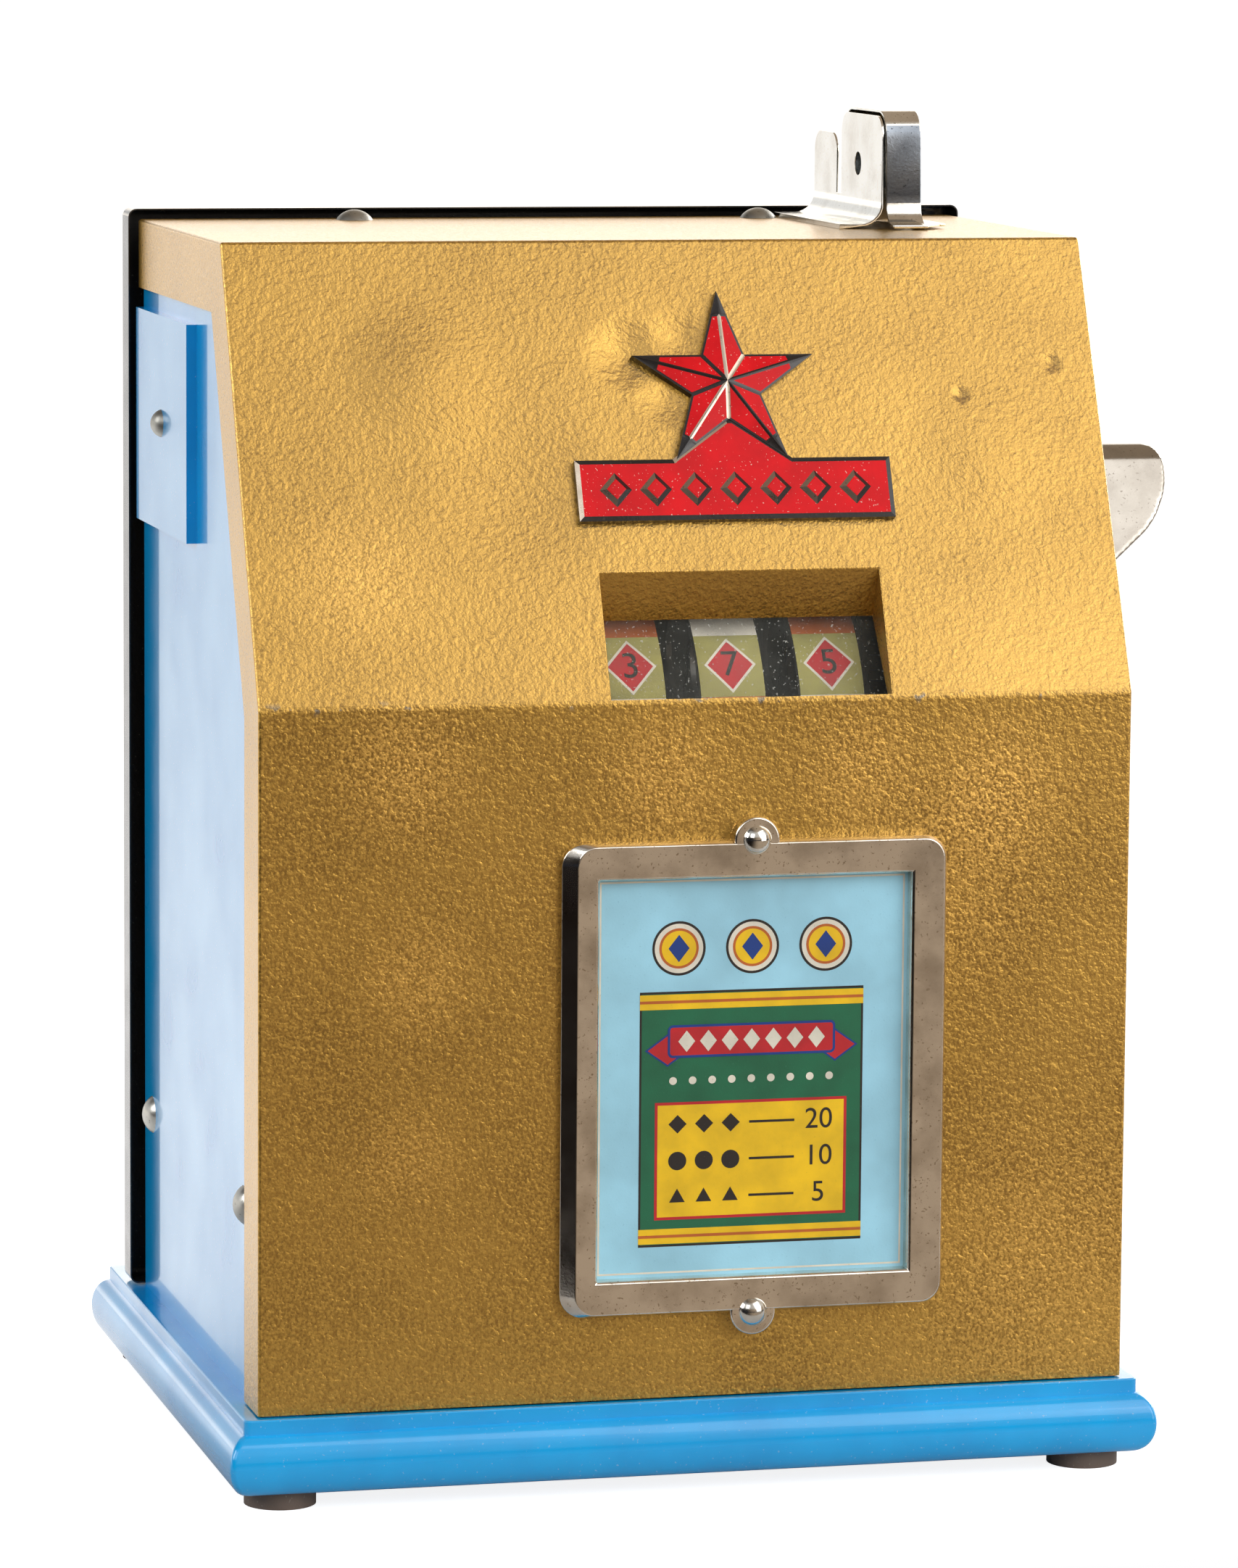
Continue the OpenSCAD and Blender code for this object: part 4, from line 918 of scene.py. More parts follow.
@dataclass
class Studio:
    """Camera at the photograph's place, soft lights and a white floor."""

    eye: Point = (-0.47745, -1.9004, 0.4466)
    yaw: float = 14.191
    pitch: float = 7.623
    roll: float = 0.433
    focal_px: float = 9407.3
    image_px: tuple[int, int] = (1708, 2163)
    sensor: float = 36.0
    clip_end: float = 100.0
    floor_front: float = -0.21
    floor_reach: float = 30.0
    floor_glow: float = 0.85
    softboxes: tuple[Softbox, ...] = (
        Softbox("overhead", (0.95, -1.15, 1.2), (0.0, -0.05, 0.25), 1.5, 9.2),
        Softbox("front_left", (-1.1, -1.5, 1.25), (0.0, -0.1, 0.15), 1.0, 5.2),
        Softbox("front_right", (1.25, -1.35, 0.6), (0.0, -0.1, 0.15), 1.2, 7.6),
        Softbox("left", (-1.6, -0.25, 1.0), (-0.12, 0.0, 0.2), 0.8, 10.0),
        Softbox("back_right", (1.3, 0.9, 0.8), (0.0, 0.0, 0.2), 0.9, 14.0),
        Softbox("front_fill", (0.3, -1.9, 0.6), (0.0, -0.1, 0.15), 1.0, 5.0, mirrored=False),
    )

    def build(self) -> None:
        """Makes the camera, the lights, the floor and the world."""
        bpy.context.scene.view_settings.view_transform = "Standard"
        self.camera()
        for softbox in self.softboxes:
            softbox.hang()
        self.floor()
        self.world()

    def camera(self) -> None:
        """Sets the camera that was fitted to the photograph."""
        data = bpy.data.cameras.new("photo_camera")
        data.sensor_width = self.sensor
        data.lens = self.focal_px / max(self.image_px) * self.sensor
        data.clip_end = self.clip_end
        camera = bpy.data.objects.new("photo_camera", data)
        bpy.context.scene.collection.objects.link(camera)
        turns = ((-self.yaw, "Z"), (90 - self.pitch, "X"), (self.roll, "Z"))
        place = Matrix.Translation(self.eye)
        for angle, axis in turns:
            place = place @ Matrix.Rotation(math.radians(angle), 4, axis)
        camera.matrix_world = place
        bpy.context.scene.camera = camera

    def floor(self) -> None:
        """Lays a pale floor that reads white, also in metal behind the object, and keeps its shadow."""
        floor = start(
            "studio_floor", bpy.ops.mesh.primitive_plane_add, (2 * self.floor_reach, self.floor_reach, 1),
            size=1, location=(0, self.floor_front + self.floor_reach / 2, 0))
        made = bpy.data.materials.new("white_table")
        tree = blank(made)
        path = add(tree, "LightPath").outputs
        place = add(tree, "TexCoord").outputs["Object"]
        seen = add(tree, "Math", {
            0: path["Is Camera Ray"], 1: path["Is Transmission Ray"],
        }, operation="MAXIMUM")
        mirror = add(tree, "Math", {
            0: path["Is Glossy Ray"], 1: zone(tree, place, ("Y", -0.12, 0.25)),
        }, operation="MULTIPLY")
        seen = add(tree, "Math", {0: seen, 1: mirror}, operation="MAXIMUM")
        glow = add(tree, "Math", {0: seen, 1: self.floor_glow}, operation="MULTIPLY")
        light = add(tree, "Emission", {"Strength": glow})
        matt = add(tree, "BsdfDiffuse", {"Color": srgb("#C0C0C0")})
        both = add(tree, "AddShader", {0: light, 1: matt})
        add(tree, "OutputMaterial", {"Surface": both})
        floor.data.materials.append(made)

    def world(self) -> None:
        """Surrounds the object: white behind it for the camera and metal, dim and warm before it."""
        world = bpy.data.worlds.new("studio")
        bpy.context.scene.world = world
        tree = blank(world)
        way = add(tree, "TexCoord").outputs["Generated"]
        path = add(tree, "LightPath").outputs
        wall = zone(tree, way, ("Y", -0.15, 0.3), ("Z", 0.6, 0.35))
        box = zone(tree, way, ("Z", 0.28, 0.42), ("Z", 0.92, 0.76), ("Y", 0.1, -0.2), level=0.5)
        bright = add(tree, "Math", {0: wall, 1: box}, operation="MAXIMUM")
        before = add(tree, "MixRGB", {
            "Fac": zone(tree, way, ("X", -0.7, 0.15)), "Color1": srgb("#1A1512"), "Color2": srgb("#B3A08B"),
        })
        band = zone(tree, way, ("Z", -0.1, -0.05), ("Z", 0.07, -0.01))
        deep = add(tree, "MixRGB", {"Fac": band, "Color1": before, "Color2": srgb("#1E232E")})
        tint = add(tree, "MixRGB", {"Fac": bright, "Color1": deep, "Color2": srgb("#FFFFFF")})
        room = add(tree, "Background", {"Color": tint, "Strength": 0.85})
        flare = add(tree, "Background", {"Color": srgb("#FFF8EE"), "Strength": 2.0})
        white = add(tree, "Background", {"Color": srgb("#FFFFFF"), "Strength": 1.0})
        mirror = add(tree, "Math", {
            0: path["Is Glossy Ray"], 1: path["Is Transmission Ray"],
        }, operation="MAXIMUM")
        part = add(tree, "Math", {
            0: zone(tree, way, ("X", -0.15, 0.05)), 1: zone(tree, way, ("Z", 0.13, 0.03)),
        }, operation="MAXIMUM")
        back = add(tree, "Math", {0: mirror, 1: wall}, operation="MULTIPLY")
        back = add(tree, "Math", {0: back, 1: part}, operation="MULTIPLY")
        lit = add(tree, "MixShader", {0: back, 1: room, 2: flare})
        sky = add(tree, "MixShader", {0: path["Is Camera Ray"], 1: lit, 2: white})
        add(tree, "OutputWorld", {"Surface": sky})


@dataclass
class BaseBoard:
    """Wooden base: a board with a round nosing and a step that carries the case."""

    step: float = 4 * MM
    nosing: float = 5.5 * MM
    nosing_share: float = 0.99
    mitre: float = 1.5 * MM
    mitre_reach: float = 0.05 * MM
    mitre_share: float = 0.95
    step_edge: float = 1.1 * MM

    def build(self) -> None:
        """Rounds a thin block, draws it up to an oval nosing, softens its mitres and raises the step."""
        low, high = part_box("base_board")
        top = high.z - self.step
        board = block("base_nosing_board", low, (high.x, high.y, low.z + 2 * self.nosing))
        with editing(board):
            round_off(lambda m, w: abs(w.z) < ACROSS, self.nosing_share * self.nosing, 12)
            pick(Part.VERTS, everything)
            stretch = (top - low.z) / (2 * self.nosing)
            bpy.ops.transform.resize(value=(1, 1, stretch), center_override=(0, 0, low.z))
            round_off(lambda m, w: max(abs(w.x), abs(w.y)) < self.mitre_share
                      and abs(high.x - abs(m.x) - high.y + abs(m.y)) < self.mitre_reach, self.mitre, 3)
            pick(Part.FACES, lambda m, w: w.z > FLAT and m.z > top - NEAR)
            extrude(Z * self.step)
            round_off(lambda m, w: m.z > high.z - NEAR, self.step_edge, 3)
        hand_over(board, "blue_enamel_wood", "base_board")


@dataclass
class CaseShell:
    """Gold sheet folded over the case: front, slope, top, side flanges, skirts and the window's walls."""

    sheet: float = 1.5 * MM
    flange: float = 20 * MM
    bend: float = 2.4 * MM
    lip_bend: float = 1.2 * MM
    gap: float = 0.45 * MM
    window: Box = (-25.6 * MM, 54.4 * MM, 0.9 * MM, 37.6 * MM)
    window_depth: float = 11 * MM
    lip: float = 4 * MM
    flap: float = 10.4 * MM
    reach: float = 0.2 * MM

    def build(self) -> None:
        """Folds the shell from a block and opens its window."""
        shell = block("gold_front_shell", SHELL_LOW + Z * self.gap, SHELL_HIGH)
        left, right, bottom, top = self.window
        with editing(shell):
            cut(SLOPE.at(0), SLOPE.out, fill=True, clear=True)
            pick(Part.FACES, lambda m, w: w.z < -ALONG or w.y > ALONG)
            bpy.ops.mesh.delete(type="FACE")
            pick(Part.FACES, lambda m, w: abs(w.x) > ALONG)
            bpy.ops.mesh.inset(thickness=self.flange, use_boundary=False, use_even_offset=True)
            bpy.ops.mesh.delete(type="FACE")
            for x in (left, right):
                cut(X * x, X, SLOPE.faces)
            for along in (bottom, top):
                cut(SLOPE.at(along), SLOPE.up, SLOPE.faces)
            pick(Part.FACES, lambda m, w: SLOPE.faces(m, w) and left < m.x < right
                 and bottom < SLOPE.along(m) < top)
            extrude(SLOPE.out * -self.window_depth)
            bpy.ops.mesh.delete(type="FACE")
            pick(Part.VERTS, lambda m, w: self.at_depth(m) and SLOPE.along(m) < bottom + MM)
            move(SLOPE.out * (self.window_depth - self.lip))
            pick(Part.VERTS, lambda m, w: self.at_depth(m) and SLOPE.along(m) > top - MM)
            move(SLOPE.up * -self.flap)
            round_off(self.on_bend, self.bend, 5)
            round_off(self.on_rim, self.lip_bend, 3)
        thicken(shell, self.sheet)
        hand_over(shell, "gold_paint", "front_shell")

    def at_depth(self, point: Vector) -> bool:
        """Says whether a point lies at the inner end of the window's walls."""
        return abs(SLOPE.over(point) + self.window_depth) < NEAR

    def on_bend(self, middle: Vector, way: Vector) -> bool:
        """Says whether an edge lies on a bend of the sheet.

        Args:
            middle: The edge's middle.
            way: Its direction.

        Returns:
            True on the fold, the top's front and the sides of front, slope and top.
        """
        at_front = middle.y < SLOPE.front + self.reach
        at_top = abs(middle.z - SLOPE.top) < self.reach
        if abs(way.x) > ALONG:
            at_fold = at_front and abs(middle.z - SLOPE.fold) < self.reach
            return at_fold or (at_top and middle.y < SHELL_HIGH.y - MM)
        at_side = abs(abs(middle.x) - SHELL_HIGH.x) < self.reach and abs(way.x) < ACROSS
        return at_side and (at_front or at_top or abs(SLOPE.over(middle)) < self.reach)

    def on_rim(self, middle: Vector, _way: Vector) -> bool:
        """Says whether an edge lies on the window's rim.

        Args:
            middle: The edge's middle.
            _way: Its direction, which doesn't matter.

        Returns:
            True on the rim.
        """
        left, right, bottom, top = self.window
        along = SLOPE.along(middle)
        inside = min(middle.x - left, right - middle.x, along - bottom, top - along) > -self.reach
        off = min(abs(middle.x - left), abs(middle.x - right), abs(along - bottom), abs(along - top))
        return inside and max(off, abs(SLOPE.over(middle))) < self.reach


@dataclass
class CardDisplay:
    """Nickel frame on the front with two lugs and their ball-headed screws."""

    face: float = 5.0 * MM
    border: float = 10.2 * MM
    lip: float = 0.7 * MM
    corner: float = 6.4 * MM
    swell: float = 3.9 * MM
    narrow: float = 0.22
    edge: float = 0.3 * MM
    edge_angle: float = 30.0
    lug: float = 6.5 * MM
    lug_depth: float = 4.95 * MM
    lug_edge: float = 0.7 * MM
    ball: float = 4.7 * MM
    ball_out: float = 1.1 * MM
    ball_over: float = 0.7 * MM
    ball_share: float = 1.7

    def build(self) -> None:
        """Rounds a plate's corners, bevels its front, opens its middle and adds the lugs."""
        low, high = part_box("card_frame")
        seat = SHELL_LOW.y
        bottom, top = low.z + self.lug, high.z - self.lug
        middle = (low.x + high.x) / 2
        plate = block("card_frame_casting", (low.x, bottom, 0), (high.x, top, self.face))
        lay(plate, Matrix.Translation(Y * seat) @ FRONT_TURN)
        with editing(plate):
            round_off(lambda m, w: abs(w.y) > ALONG, self.corner, 8)
        self.bevel(plate, low.x, seat - self.face)
        rim = self.border - self.lip
        centre = Vector((middle, (bottom + top) / 2))
        with editing(plate):
            for x in (low.x + rim, high.x - rim):
                cut(X * x, X)
            for z in (bottom + rim, top - rim):
                cut(Z * z, Z)
            pick(Part.FACES, lambda m, w: w.y < -FLAT and (m.xz - centre).length < rim)
            bpy.ops.mesh.inset(thickness=self.lip, depth=-self.lip)
            extrude(Y * (self.face - self.lip))
            bpy.ops.mesh.delete(type="FACE")
            pick(Part.FACES, lambda m, w: w.y > FLAT and (m.xz - centre).length < rim)
            bpy.ops.mesh.inset(thickness=self.lip, depth=0)
            bpy.ops.mesh.delete(type="FACE")
            weld(NEAR)
        ease(plate, self.edge, 3, self.edge_angle)
        pieces = [plate]
        for z in (bottom, top):
            ear = start(
                "lug", bpy.ops.mesh.primitive_cylinder_add, vertices=48, radius=self.lug,
                depth=self.lug_depth, location=(middle, seat - self.lug_depth / 2, z),
                rotation=(math.pi / 2, 0, 0))
            ease(ear, self.lug_edge, 3)
            pieces.append(ear)
        piece = join("card_frame_casting", pieces)
        hand_over(piece, "nickel_frame", "card_frame")
        self.screws()

    def bevel(self, plate: Piece, left: float, front: float) -> None:
        """Bevels the front's outer edge, broad on the left and narrow on the other sides.

        Args:
            plate: The plate with rounded corners.
            left: Where its left edge stands.
            front: Where its front face stands.
        """
        weights = plate.data.attributes.new("bevel_weight_edge", "FLOAT", "EDGE")
        points = [v.co for v in plate.data.vertices]
        for edge in plate.data.edges:
            one, other = (points[i] for i in edge.vertices)
            if max(one.y, other.y) < front + NEAR:
                turn = min(1.0, ((one.x + other.x) / 2 - left) / self.corner)
                weights.data[edge.index].value = 1.0 - (1.0 - self.narrow) * turn
        apply(plate, "BEVEL", width=self.swell, segments=1, limit_method="WEIGHT")

    def screws(self) -> None:
        """Makes the ball heads from spheres that are cut off at the lugs."""
        low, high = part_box("card_frame_screws")
        front = low.y - self.ball_out
        inset = self.ball - self.ball_over
        balls = []
        for z in (low.z + inset, high.z - inset):
            ball = start(
                "ball_screw", bpy.ops.mesh.primitive_uv_sphere_add, segments=40, ring_count=20,
                radius=self.ball, location=((low.x + high.x) / 2, front + self.ball, z),
                rotation=(math.pi / 2, 0, 0))
            with editing(ball):
                cut(Y * (front + self.ball_share * self.ball), Y, fill=True, clear=True)
            balls.append(ball)
        pair = join("frame_ball_screws", balls)
        hand_over(pair, "chrome_sheet", "card_frame_screws")


@dataclass
class Badge:
    """Enamelled casting on the slope: a faceted star on a hill over a bar with a row of lozenges."""

    x: float = 15 * MM
    bar_half: float = 45.25 * MM
    bar_low: float = 51.8 * MM
    bar_high: float = 69.5 * MM
    thick: float = 2.6 * MM
    outline: float = 1.3 * MM
    swell: float = 0.35 * MM
    # Edge faces that lean left and up past these shares get a painted highlight.
    highlight_left: float = 0.15
    highlight_up: float = 0.3
    hill_half: float = 17.2 * MM
    hill_tip: float = 0.06
    points: int = 5
    star_up: float = 91.5 * MM
    star_r: float = 27.4 * MM
    notch: float = 0.382
    rise: float = 2.7 * MM
    foot_reach: float = 0.02 * MM
    ridge: float = 0.6 * MM
    groove: float = 0.1 * MM
    tip: float = 0.74
    heart: float = 2.6 * MM
    # Bearings of the ridges that get a painted highlight.
    highlight_ridges: tuple[float, ...] = (54.0, 90.0, 234.0, 270.0)
    highlight_reach: float = 6.0
    lozenges: int = 7
    row_in: float = 5.2 * MM
    side: float = 0.95
    lozenge: Pair = (4.6 * MM, 5.0 * MM)
    lozenge_top: float = 0.6
    lozenge_rise: float = 0.9 * MM
    lozenge_edge: float = 0.35 * MM
    smooth: float = 15.0

    def build(self) -> None:
        """Models the casting flat, lays it on the slope and enamels it."""
        badge = join("star_badge_casting", [self.plate(), self.star(), *self.ornament()])
        lay(badge, SLOPE.place(self.x))
        hand_over(badge, "red_enamel", "star_badge", smooth=self.smooth)

    def plate(self) -> Piece:
        """Draws the hill up out of the bar and swells their red face inside a dark edge, whose faces that lean
        left and up get a painted highlight.

        Returns:
            The plate, flat.
        """
        low = (-self.bar_half, self.bar_low, 0)
        plate = block("badge_plate", low, (self.bar_half, self.bar_high, self.thick - self.swell))
        dress(plate, RED, BLACK, BADGE_HIGHLIGHT)
        apex = self.star_up - self.star_r * self.notch
        with editing(plate):
            for x in (-self.hill_half, self.hill_half):
                cut(X * x, X)
            pick(Part.FACES, lambda m, w: w.y > ALONG and abs(m.x) < self.hill_half)
            extrude(Y * (apex - self.bar_high))
            bpy.ops.transform.resize(value=(self.hill_tip, 1, 1), center_override=(0, apex, 0))
            pick(Part.FACES, lambda m, w: w.z > FLAT)
            bpy.ops.mesh.inset(thickness=self.outline, depth=self.swell)
        paint(plate, 1, lambda m, w: w.z < FLAT)
        # Painted highlight: edge faces that lean left and up get the pale metal.
        paint(plate, 2, lambda m, w: w.x < -self.highlight_left and w.z > self.highlight_up)
        return plate

    def star(self) -> Piece:
        """Pokes a ten-cornered plate up into ridges, cuts its tips and insets each facet.

        Returns:
            The star, flat.
        """
        star = start(
            "badge_star", bpy.ops.mesh.primitive_circle_add, vertices=2 * self.points, radius=self.star_r,
            fill_type="NGON", location=(0, 0, self.thick))
        dress(star, RED, BLACK, BADGE_HIGHLIGHT)
        half_turn = 180 / self.points
        bearings = [math.radians(90 + 2 * half_turn * i) for i in range(self.points)]
        tips = [Vector((math.cos(a), math.sin(a), 0)) for a in bearings]
        with editing(star):
            pick(Part.VERTS, lambda m, w: (
                round((math.degrees(math.atan2(m.y, m.x)) - 90) / half_turn) % 2 == 1))
            bpy.ops.transform.resize(value=(self.notch, self.notch, 1), center_override=(0, 0, self.thick))
            face_outwards()
            bpy.ops.mesh.poke()
            pick(Part.VERTS, lambda m, w: m.xy.length < MM)
            move(Z * self.rise)
            for way in tips:
                cut(way * self.tip * self.star_r, way)
            pick(Part.EDGES, lambda m, w: m.z < self.thick + self.foot_reach)
            extrude(Z * -self.thick)
            pick(Part.FACES, faces_up)
            bpy.ops.mesh.inset(thickness=self.ridge, depth=-self.groove, use_individual=True)
            inner = picked(star)
            face_outwards()
        # Ridge and ring faces are black enamel; the up-facing ones at the highlight bearings get the pale
        # metal, a painted highlight.
        for face in star.data.polygons:
            bearing = math.degrees(math.atan2(face.center.y, face.center.x)) % 360
            bright = any(abs(bearing - b) < self.highlight_reach for b in self.highlight_ridges)
            if face.index not in inner:
                face.material_index = 2 if bright and faces_up(face.center, face.normal) else 1
            if max(face.center.dot(way) for way in tips) > self.tip * self.star_r - self.ridge:
                face.material_index = 1
        paint(star, 1, lambda m, w: faces_up(m, w) and m.xy.length < self.heart)
        lay(star, Matrix.Translation(Y * self.star_up))
        return star

    def ornament(self) -> list[Piece]:
        """Raises a row of four-sided lozenges with black edge facets, of which the left ones get a painted
        highlight instead.

        Returns:
            The lozenges.
        """
        middle = (self.bar_low + self.bar_high) / 2
        pitch = 2 * (self.bar_half - self.row_in) / self.lozenges
        made = []
        for i in range(self.lozenges):
            x = (i - (self.lozenges - 1) / 2) * pitch
            piece = start(
                "badge_lozenge", bpy.ops.mesh.primitive_cone_add, (*self.lozenge, self.lozenge_rise),
                vertices=4, radius1=1, radius2=self.lozenge_top, depth=1,
                location=(x, middle, self.thick + self.lozenge_rise / 2))
            dress(piece, RED, BLACK, BADGE_HIGHLIGHT)
            with editing(piece):
                pick(Part.FACES, lambda m, w: w.z > FLAT)
                bpy.ops.mesh.inset(thickness=self.lozenge_edge, depth=self.groove)
            paint(piece, 1, lambda m, w: w.z < self.side)
            # Painted highlight: the left facets get the pale metal.
            paint(piece, 2, lambda m, w: w.z < self.side and w.x < -ACROSS)
            made.append(piece)
        return made


@dataclass
class CoinHead:
    """Chrome coin head on the top: a bent bracket with cheek and tab, and a cover strip over the slot."""

    sheet: float = 1.5 * MM
    cheek_x: float = 80 * MM
    cheek_end: float = 42 * MM
    tab_start: float = 47 * MM
    tab_top: float = 370.5 * MM
    notch_low: float = 353 * MM
    foot_bend: float = 6 * MM
    corner: float = 6 * MM
    bracket_edge: float = 0.25 * MM
    sight: Point = (24.5 * MM, 362.4 * MM, 3.4 * MM)
    drill_depth: float = 6 * MM
    cover_bend: float = 7.5 * MM
    cover_edge: float = 0.3 * MM
    front_foot: float = 8 * MM
    side_foot: float = 7.5 * MM
    lean_back: float = 1.1 * MM
    lean_steps: int = 8
    lean_bow: float = 0.54

    def build(self) -> None:
        """Bends both sheets and drills the sight hole."""
        self.bracket()
        self.cover()

    def bracket(self) -> None:
        """Cuts cheek and tab from one sheet and bends its foot outwards."""
        low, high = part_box("coin_head_bracket")
        foot_z = low.z + self.sheet
        sheet = start(
            "coin_bracket_sheet", bpy.ops.mesh.primitive_plane_add, (high.z - foot_z, high.y - low.y, 1),
            size=1, location=(self.cheek_x, (low.y + high.y) / 2, (foot_z + high.z) / 2),
            rotation=(0, -math.pi / 2, 0))
        ends = (
            (low.y, high.z), (self.cheek_end, high.z), (self.tab_start, self.tab_top), (high.y, self.tab_top))
        with editing(sheet):
            for y in (self.cheek_end, self.tab_start):
                cut(Y * y, Y)
            for z in (self.notch_low, self.tab_top):
                cut(Z * z, Z)
            pick(Part.FACES, lambda m, w: (self.cheek_end < m.y < self.tab_start and m.z > self.notch_low)
                 or (m.y > self.tab_start and m.z > self.tab_top))
            bpy.ops.mesh.delete(type="FACE")
            pick(Part.EDGES, lambda m, w: m.z < foot_z + NEAR)
            extrude(X * (low.x - self.cheek_x))
            round_off(lambda m, w: max(abs(m.z - foot_z), abs(m.x - self.cheek_x)) < NEAR, self.foot_bend, 7)
            pick(Part.VERTS, lambda m, w: any(max(abs(m.y - y), abs(m.z - z)) < NEAR for y, z in ends))
            bpy.ops.mesh.bevel(offset=self.corner, segments=7, affect="VERTICES")
            face_outwards(lambda m, w: w.x > ALONG)
        thicken(sheet, self.sheet)
        self.drill(sheet)
        ease(sheet, self.bracket_edge)
        hand_over(sheet, "chrome_sheet", "coin_head_bracket")

    def drill(self, sheet: Piece) -> None:
        """Drills the sight hole through the cheek.

        Args:
            sheet: The bent bracket.
        """
        y, z, radius = self.sight
        bit = start(
            "drill", bpy.ops.mesh.primitive_cylinder_add, vertices=40, radius=radius, depth=self.drill_depth,
            location=(self.cheek_x, y, z), rotation=(0, math.pi / 2, 0))
        apply(sheet, "BOOLEAN", operation="DIFFERENCE", object=bit, solver="EXACT")
        bpy.data.objects.remove(bit)

    def cover(self) -> None:
        """Bends the cover from a block without its left wall and bottom, and turns out its feet."""
        low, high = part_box("coin_head_cover")
        foot = Vector((low.x, low.y + self.front_foot, low.z + self.sheet))
        end = Vector((high.x - self.side_foot, high.y, high.z))
        cover = block("coin_cover_sheet", foot, end)
        with editing(cover):
            pick(Part.FACES, lambda m, w: w.z < -ALONG or w.x < -ALONG)
            bpy.ops.mesh.delete(type="FACE")
            pick(Part.EDGES, lambda m, w: abs(m.z - foot.z) < NEAR and m.y < foot.y + NEAR)
            extrude(Y * -self.front_foot)
            pick(Part.EDGES, lambda m, w: abs(m.z - foot.z) < NEAR and m.x > end.x - NEAR
                 and abs(w.y) > ALONG and m.y > foot.y)
            extrude(X * self.side_foot)
            round_off(lambda m, w: abs(w.x) > ALONG and m.z > end.z - NEAR, self.cover_bend, 7)
            round_off(lambda m, w: abs(w.x) > ALONG
                      and max(abs(m.y - foot.y), abs(m.z - foot.z)) < NEAR, self.foot_bend, 6)
            rise = end.z - foot.z - self.cover_bend - self.foot_bend
            gone = 0.0
            for i in range(1, self.lean_steps + 1):
                share = i / self.lean_steps
                level = foot.z + self.foot_bend + rise * share
                cut(Z * level, Z)
                back = self.lean_back * ((1 - self.lean_bow) * share + self.lean_bow * share ** 2)
                pick(Part.VERTS, lambda m, w: m.z > level - NEAR)
                move(Y * (back - gone))
                gone = back
            face_outwards(lambda m, w: w.z < -ALONG)
        thicken(cover, self.sheet)
        ease(cover, self.cover_edge)
        # The upright front gets a darker copy of the chrome: a painted dark reflection.
        dress(cover, CHROME, DARK_REFLECTION_CHROME)
        paint(cover, 1, lambda m, w: w.y < -ALONG and m.z > foot.z + self.foot_bend)
        hand_over(cover, "chrome_sheet", "coin_head_cover")


@dataclass
class ThumbLever:
    """Cast chrome lever on the right: a leaning tongue with a curled head, on an arm from its hub."""

    foot: Point = (145 * MM, -28.4 * MM, 250 * MM)
    lean: float = 20.0
    left: float = -17 * MM
    right: float = 16.6 * MM
    bottom: float = -3 * MM
    chin: float = 15 * MM
    chin_way: Point = (0.652, -0.757, 0)
    right_round: float = 11 * MM
    left_round: float = 9 * MM
    curl_at: float = 28.5 * MM
    curl_step: float = 1.6 * MM
    curls: int = 6
    curl_turn: float = 13.0
    thick: float = 5 * MM
    arm_half: float = 3.7 * MM
    arm_tall: float = 1.3
    arm_end: Pair = (9 * MM, 10 * MM)
    hub_r: float = 10.8 * MM
    hub_edge: float = 1 * MM
    voxel: float = 0.55 * MM
    passes: int = 8
    smooth: float = 80.0

    def build(self) -> None:
        """Joins tongue, arm and hub, and smooths them into one casting."""
        shaft_low, shaft_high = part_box("handle_shaft")
        hub_mid = (shaft_low + shaft_high) / 2
        hub_mid.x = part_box("handle_lever")[0].x + self.arm_half
        lever = join("lever_casting", [self.tongue(), *self.mounting(hub_mid)])
        apply(lever, "REMESH", mode="VOXEL", voxel_size=self.voxel)
        apply(lever, "SMOOTH", factor=0.5, iterations=self.passes)
        dress(lever, CAST)
        hand_over(lever, "chrome_sheet", "handle_lever", body=Body.HANDLE, smooth=self.smooth)

    def tongue(self) -> Piece:
        """Cuts the tongue's outline from a plate, rounds it and curls its head back.

        Returns:
            The tongue.
        """
        top = self.curl_at + self.curls * self.curl_step
        levels = [self.curl_at + i * self.curl_step for i in range(self.curls)]
        piece = block("tongue", (self.left, self.bottom, -self.thick), (self.right, top, 0))
        with editing(piece):
            cut(Vector((self.right, self.chin, 0)), Vector(self.chin_way), fill=True, clear=True)
            round_off(lambda m, w: abs(w.z) > ALONG and m.x > self.right - MM, self.right_round, 9)
            round_off(lambda m, w: abs(w.z) > ALONG and m.x < self.left + MM and m.y > top - MM,
                      self.left_round, 7)
            for level in levels:
                cut(Y * level, Y)
            for level in reversed(levels):
                pick(Part.VERTS, lambda m, w: m.y > level + NEAR / 2)
                bpy.ops.transform.rotate(
                    value=math.radians(self.curl_turn), orient_axis="X",
                    center_override=(0, level, -self.thick / 2))
        tilt = Matrix.Rotation(math.radians(90 - self.lean), 4, "X")
        lay(piece, Matrix.Translation(self.foot) @ tilt)
        return piece

    def mounting(self, hub_mid: Vector) -> list[Piece]:
        """Makes the hub on the shaft and the arm that carries the tongue.

        Args:
            hub_mid: Middle of the hub.

        Returns:
            Hub and arm.
        """
        hub = start(
            "hub", bpy.ops.mesh.primitive_cylinder_add, vertices=48, radius=self.hub_r,
            depth=2 * self.arm_half, location=hub_mid, rotation=(0, math.pi / 2, 0))
        ease(hub, self.hub_edge, 3)
        end = Vector((hub_mid.x, self.foot[1] + self.arm_end[0], self.foot[2] + self.arm_end[1]))
        way = end - hub_mid
        half, tall = self.arm_half, self.arm_tall * self.arm_half
        arm = block("arm", (-half, 0, -tall), (half, way.length, tall))
        lay(arm, Matrix.Translation(hub_mid) @ way.to_track_quat("Y", "X").to_matrix().to_4x4())
        return [hub, arm]


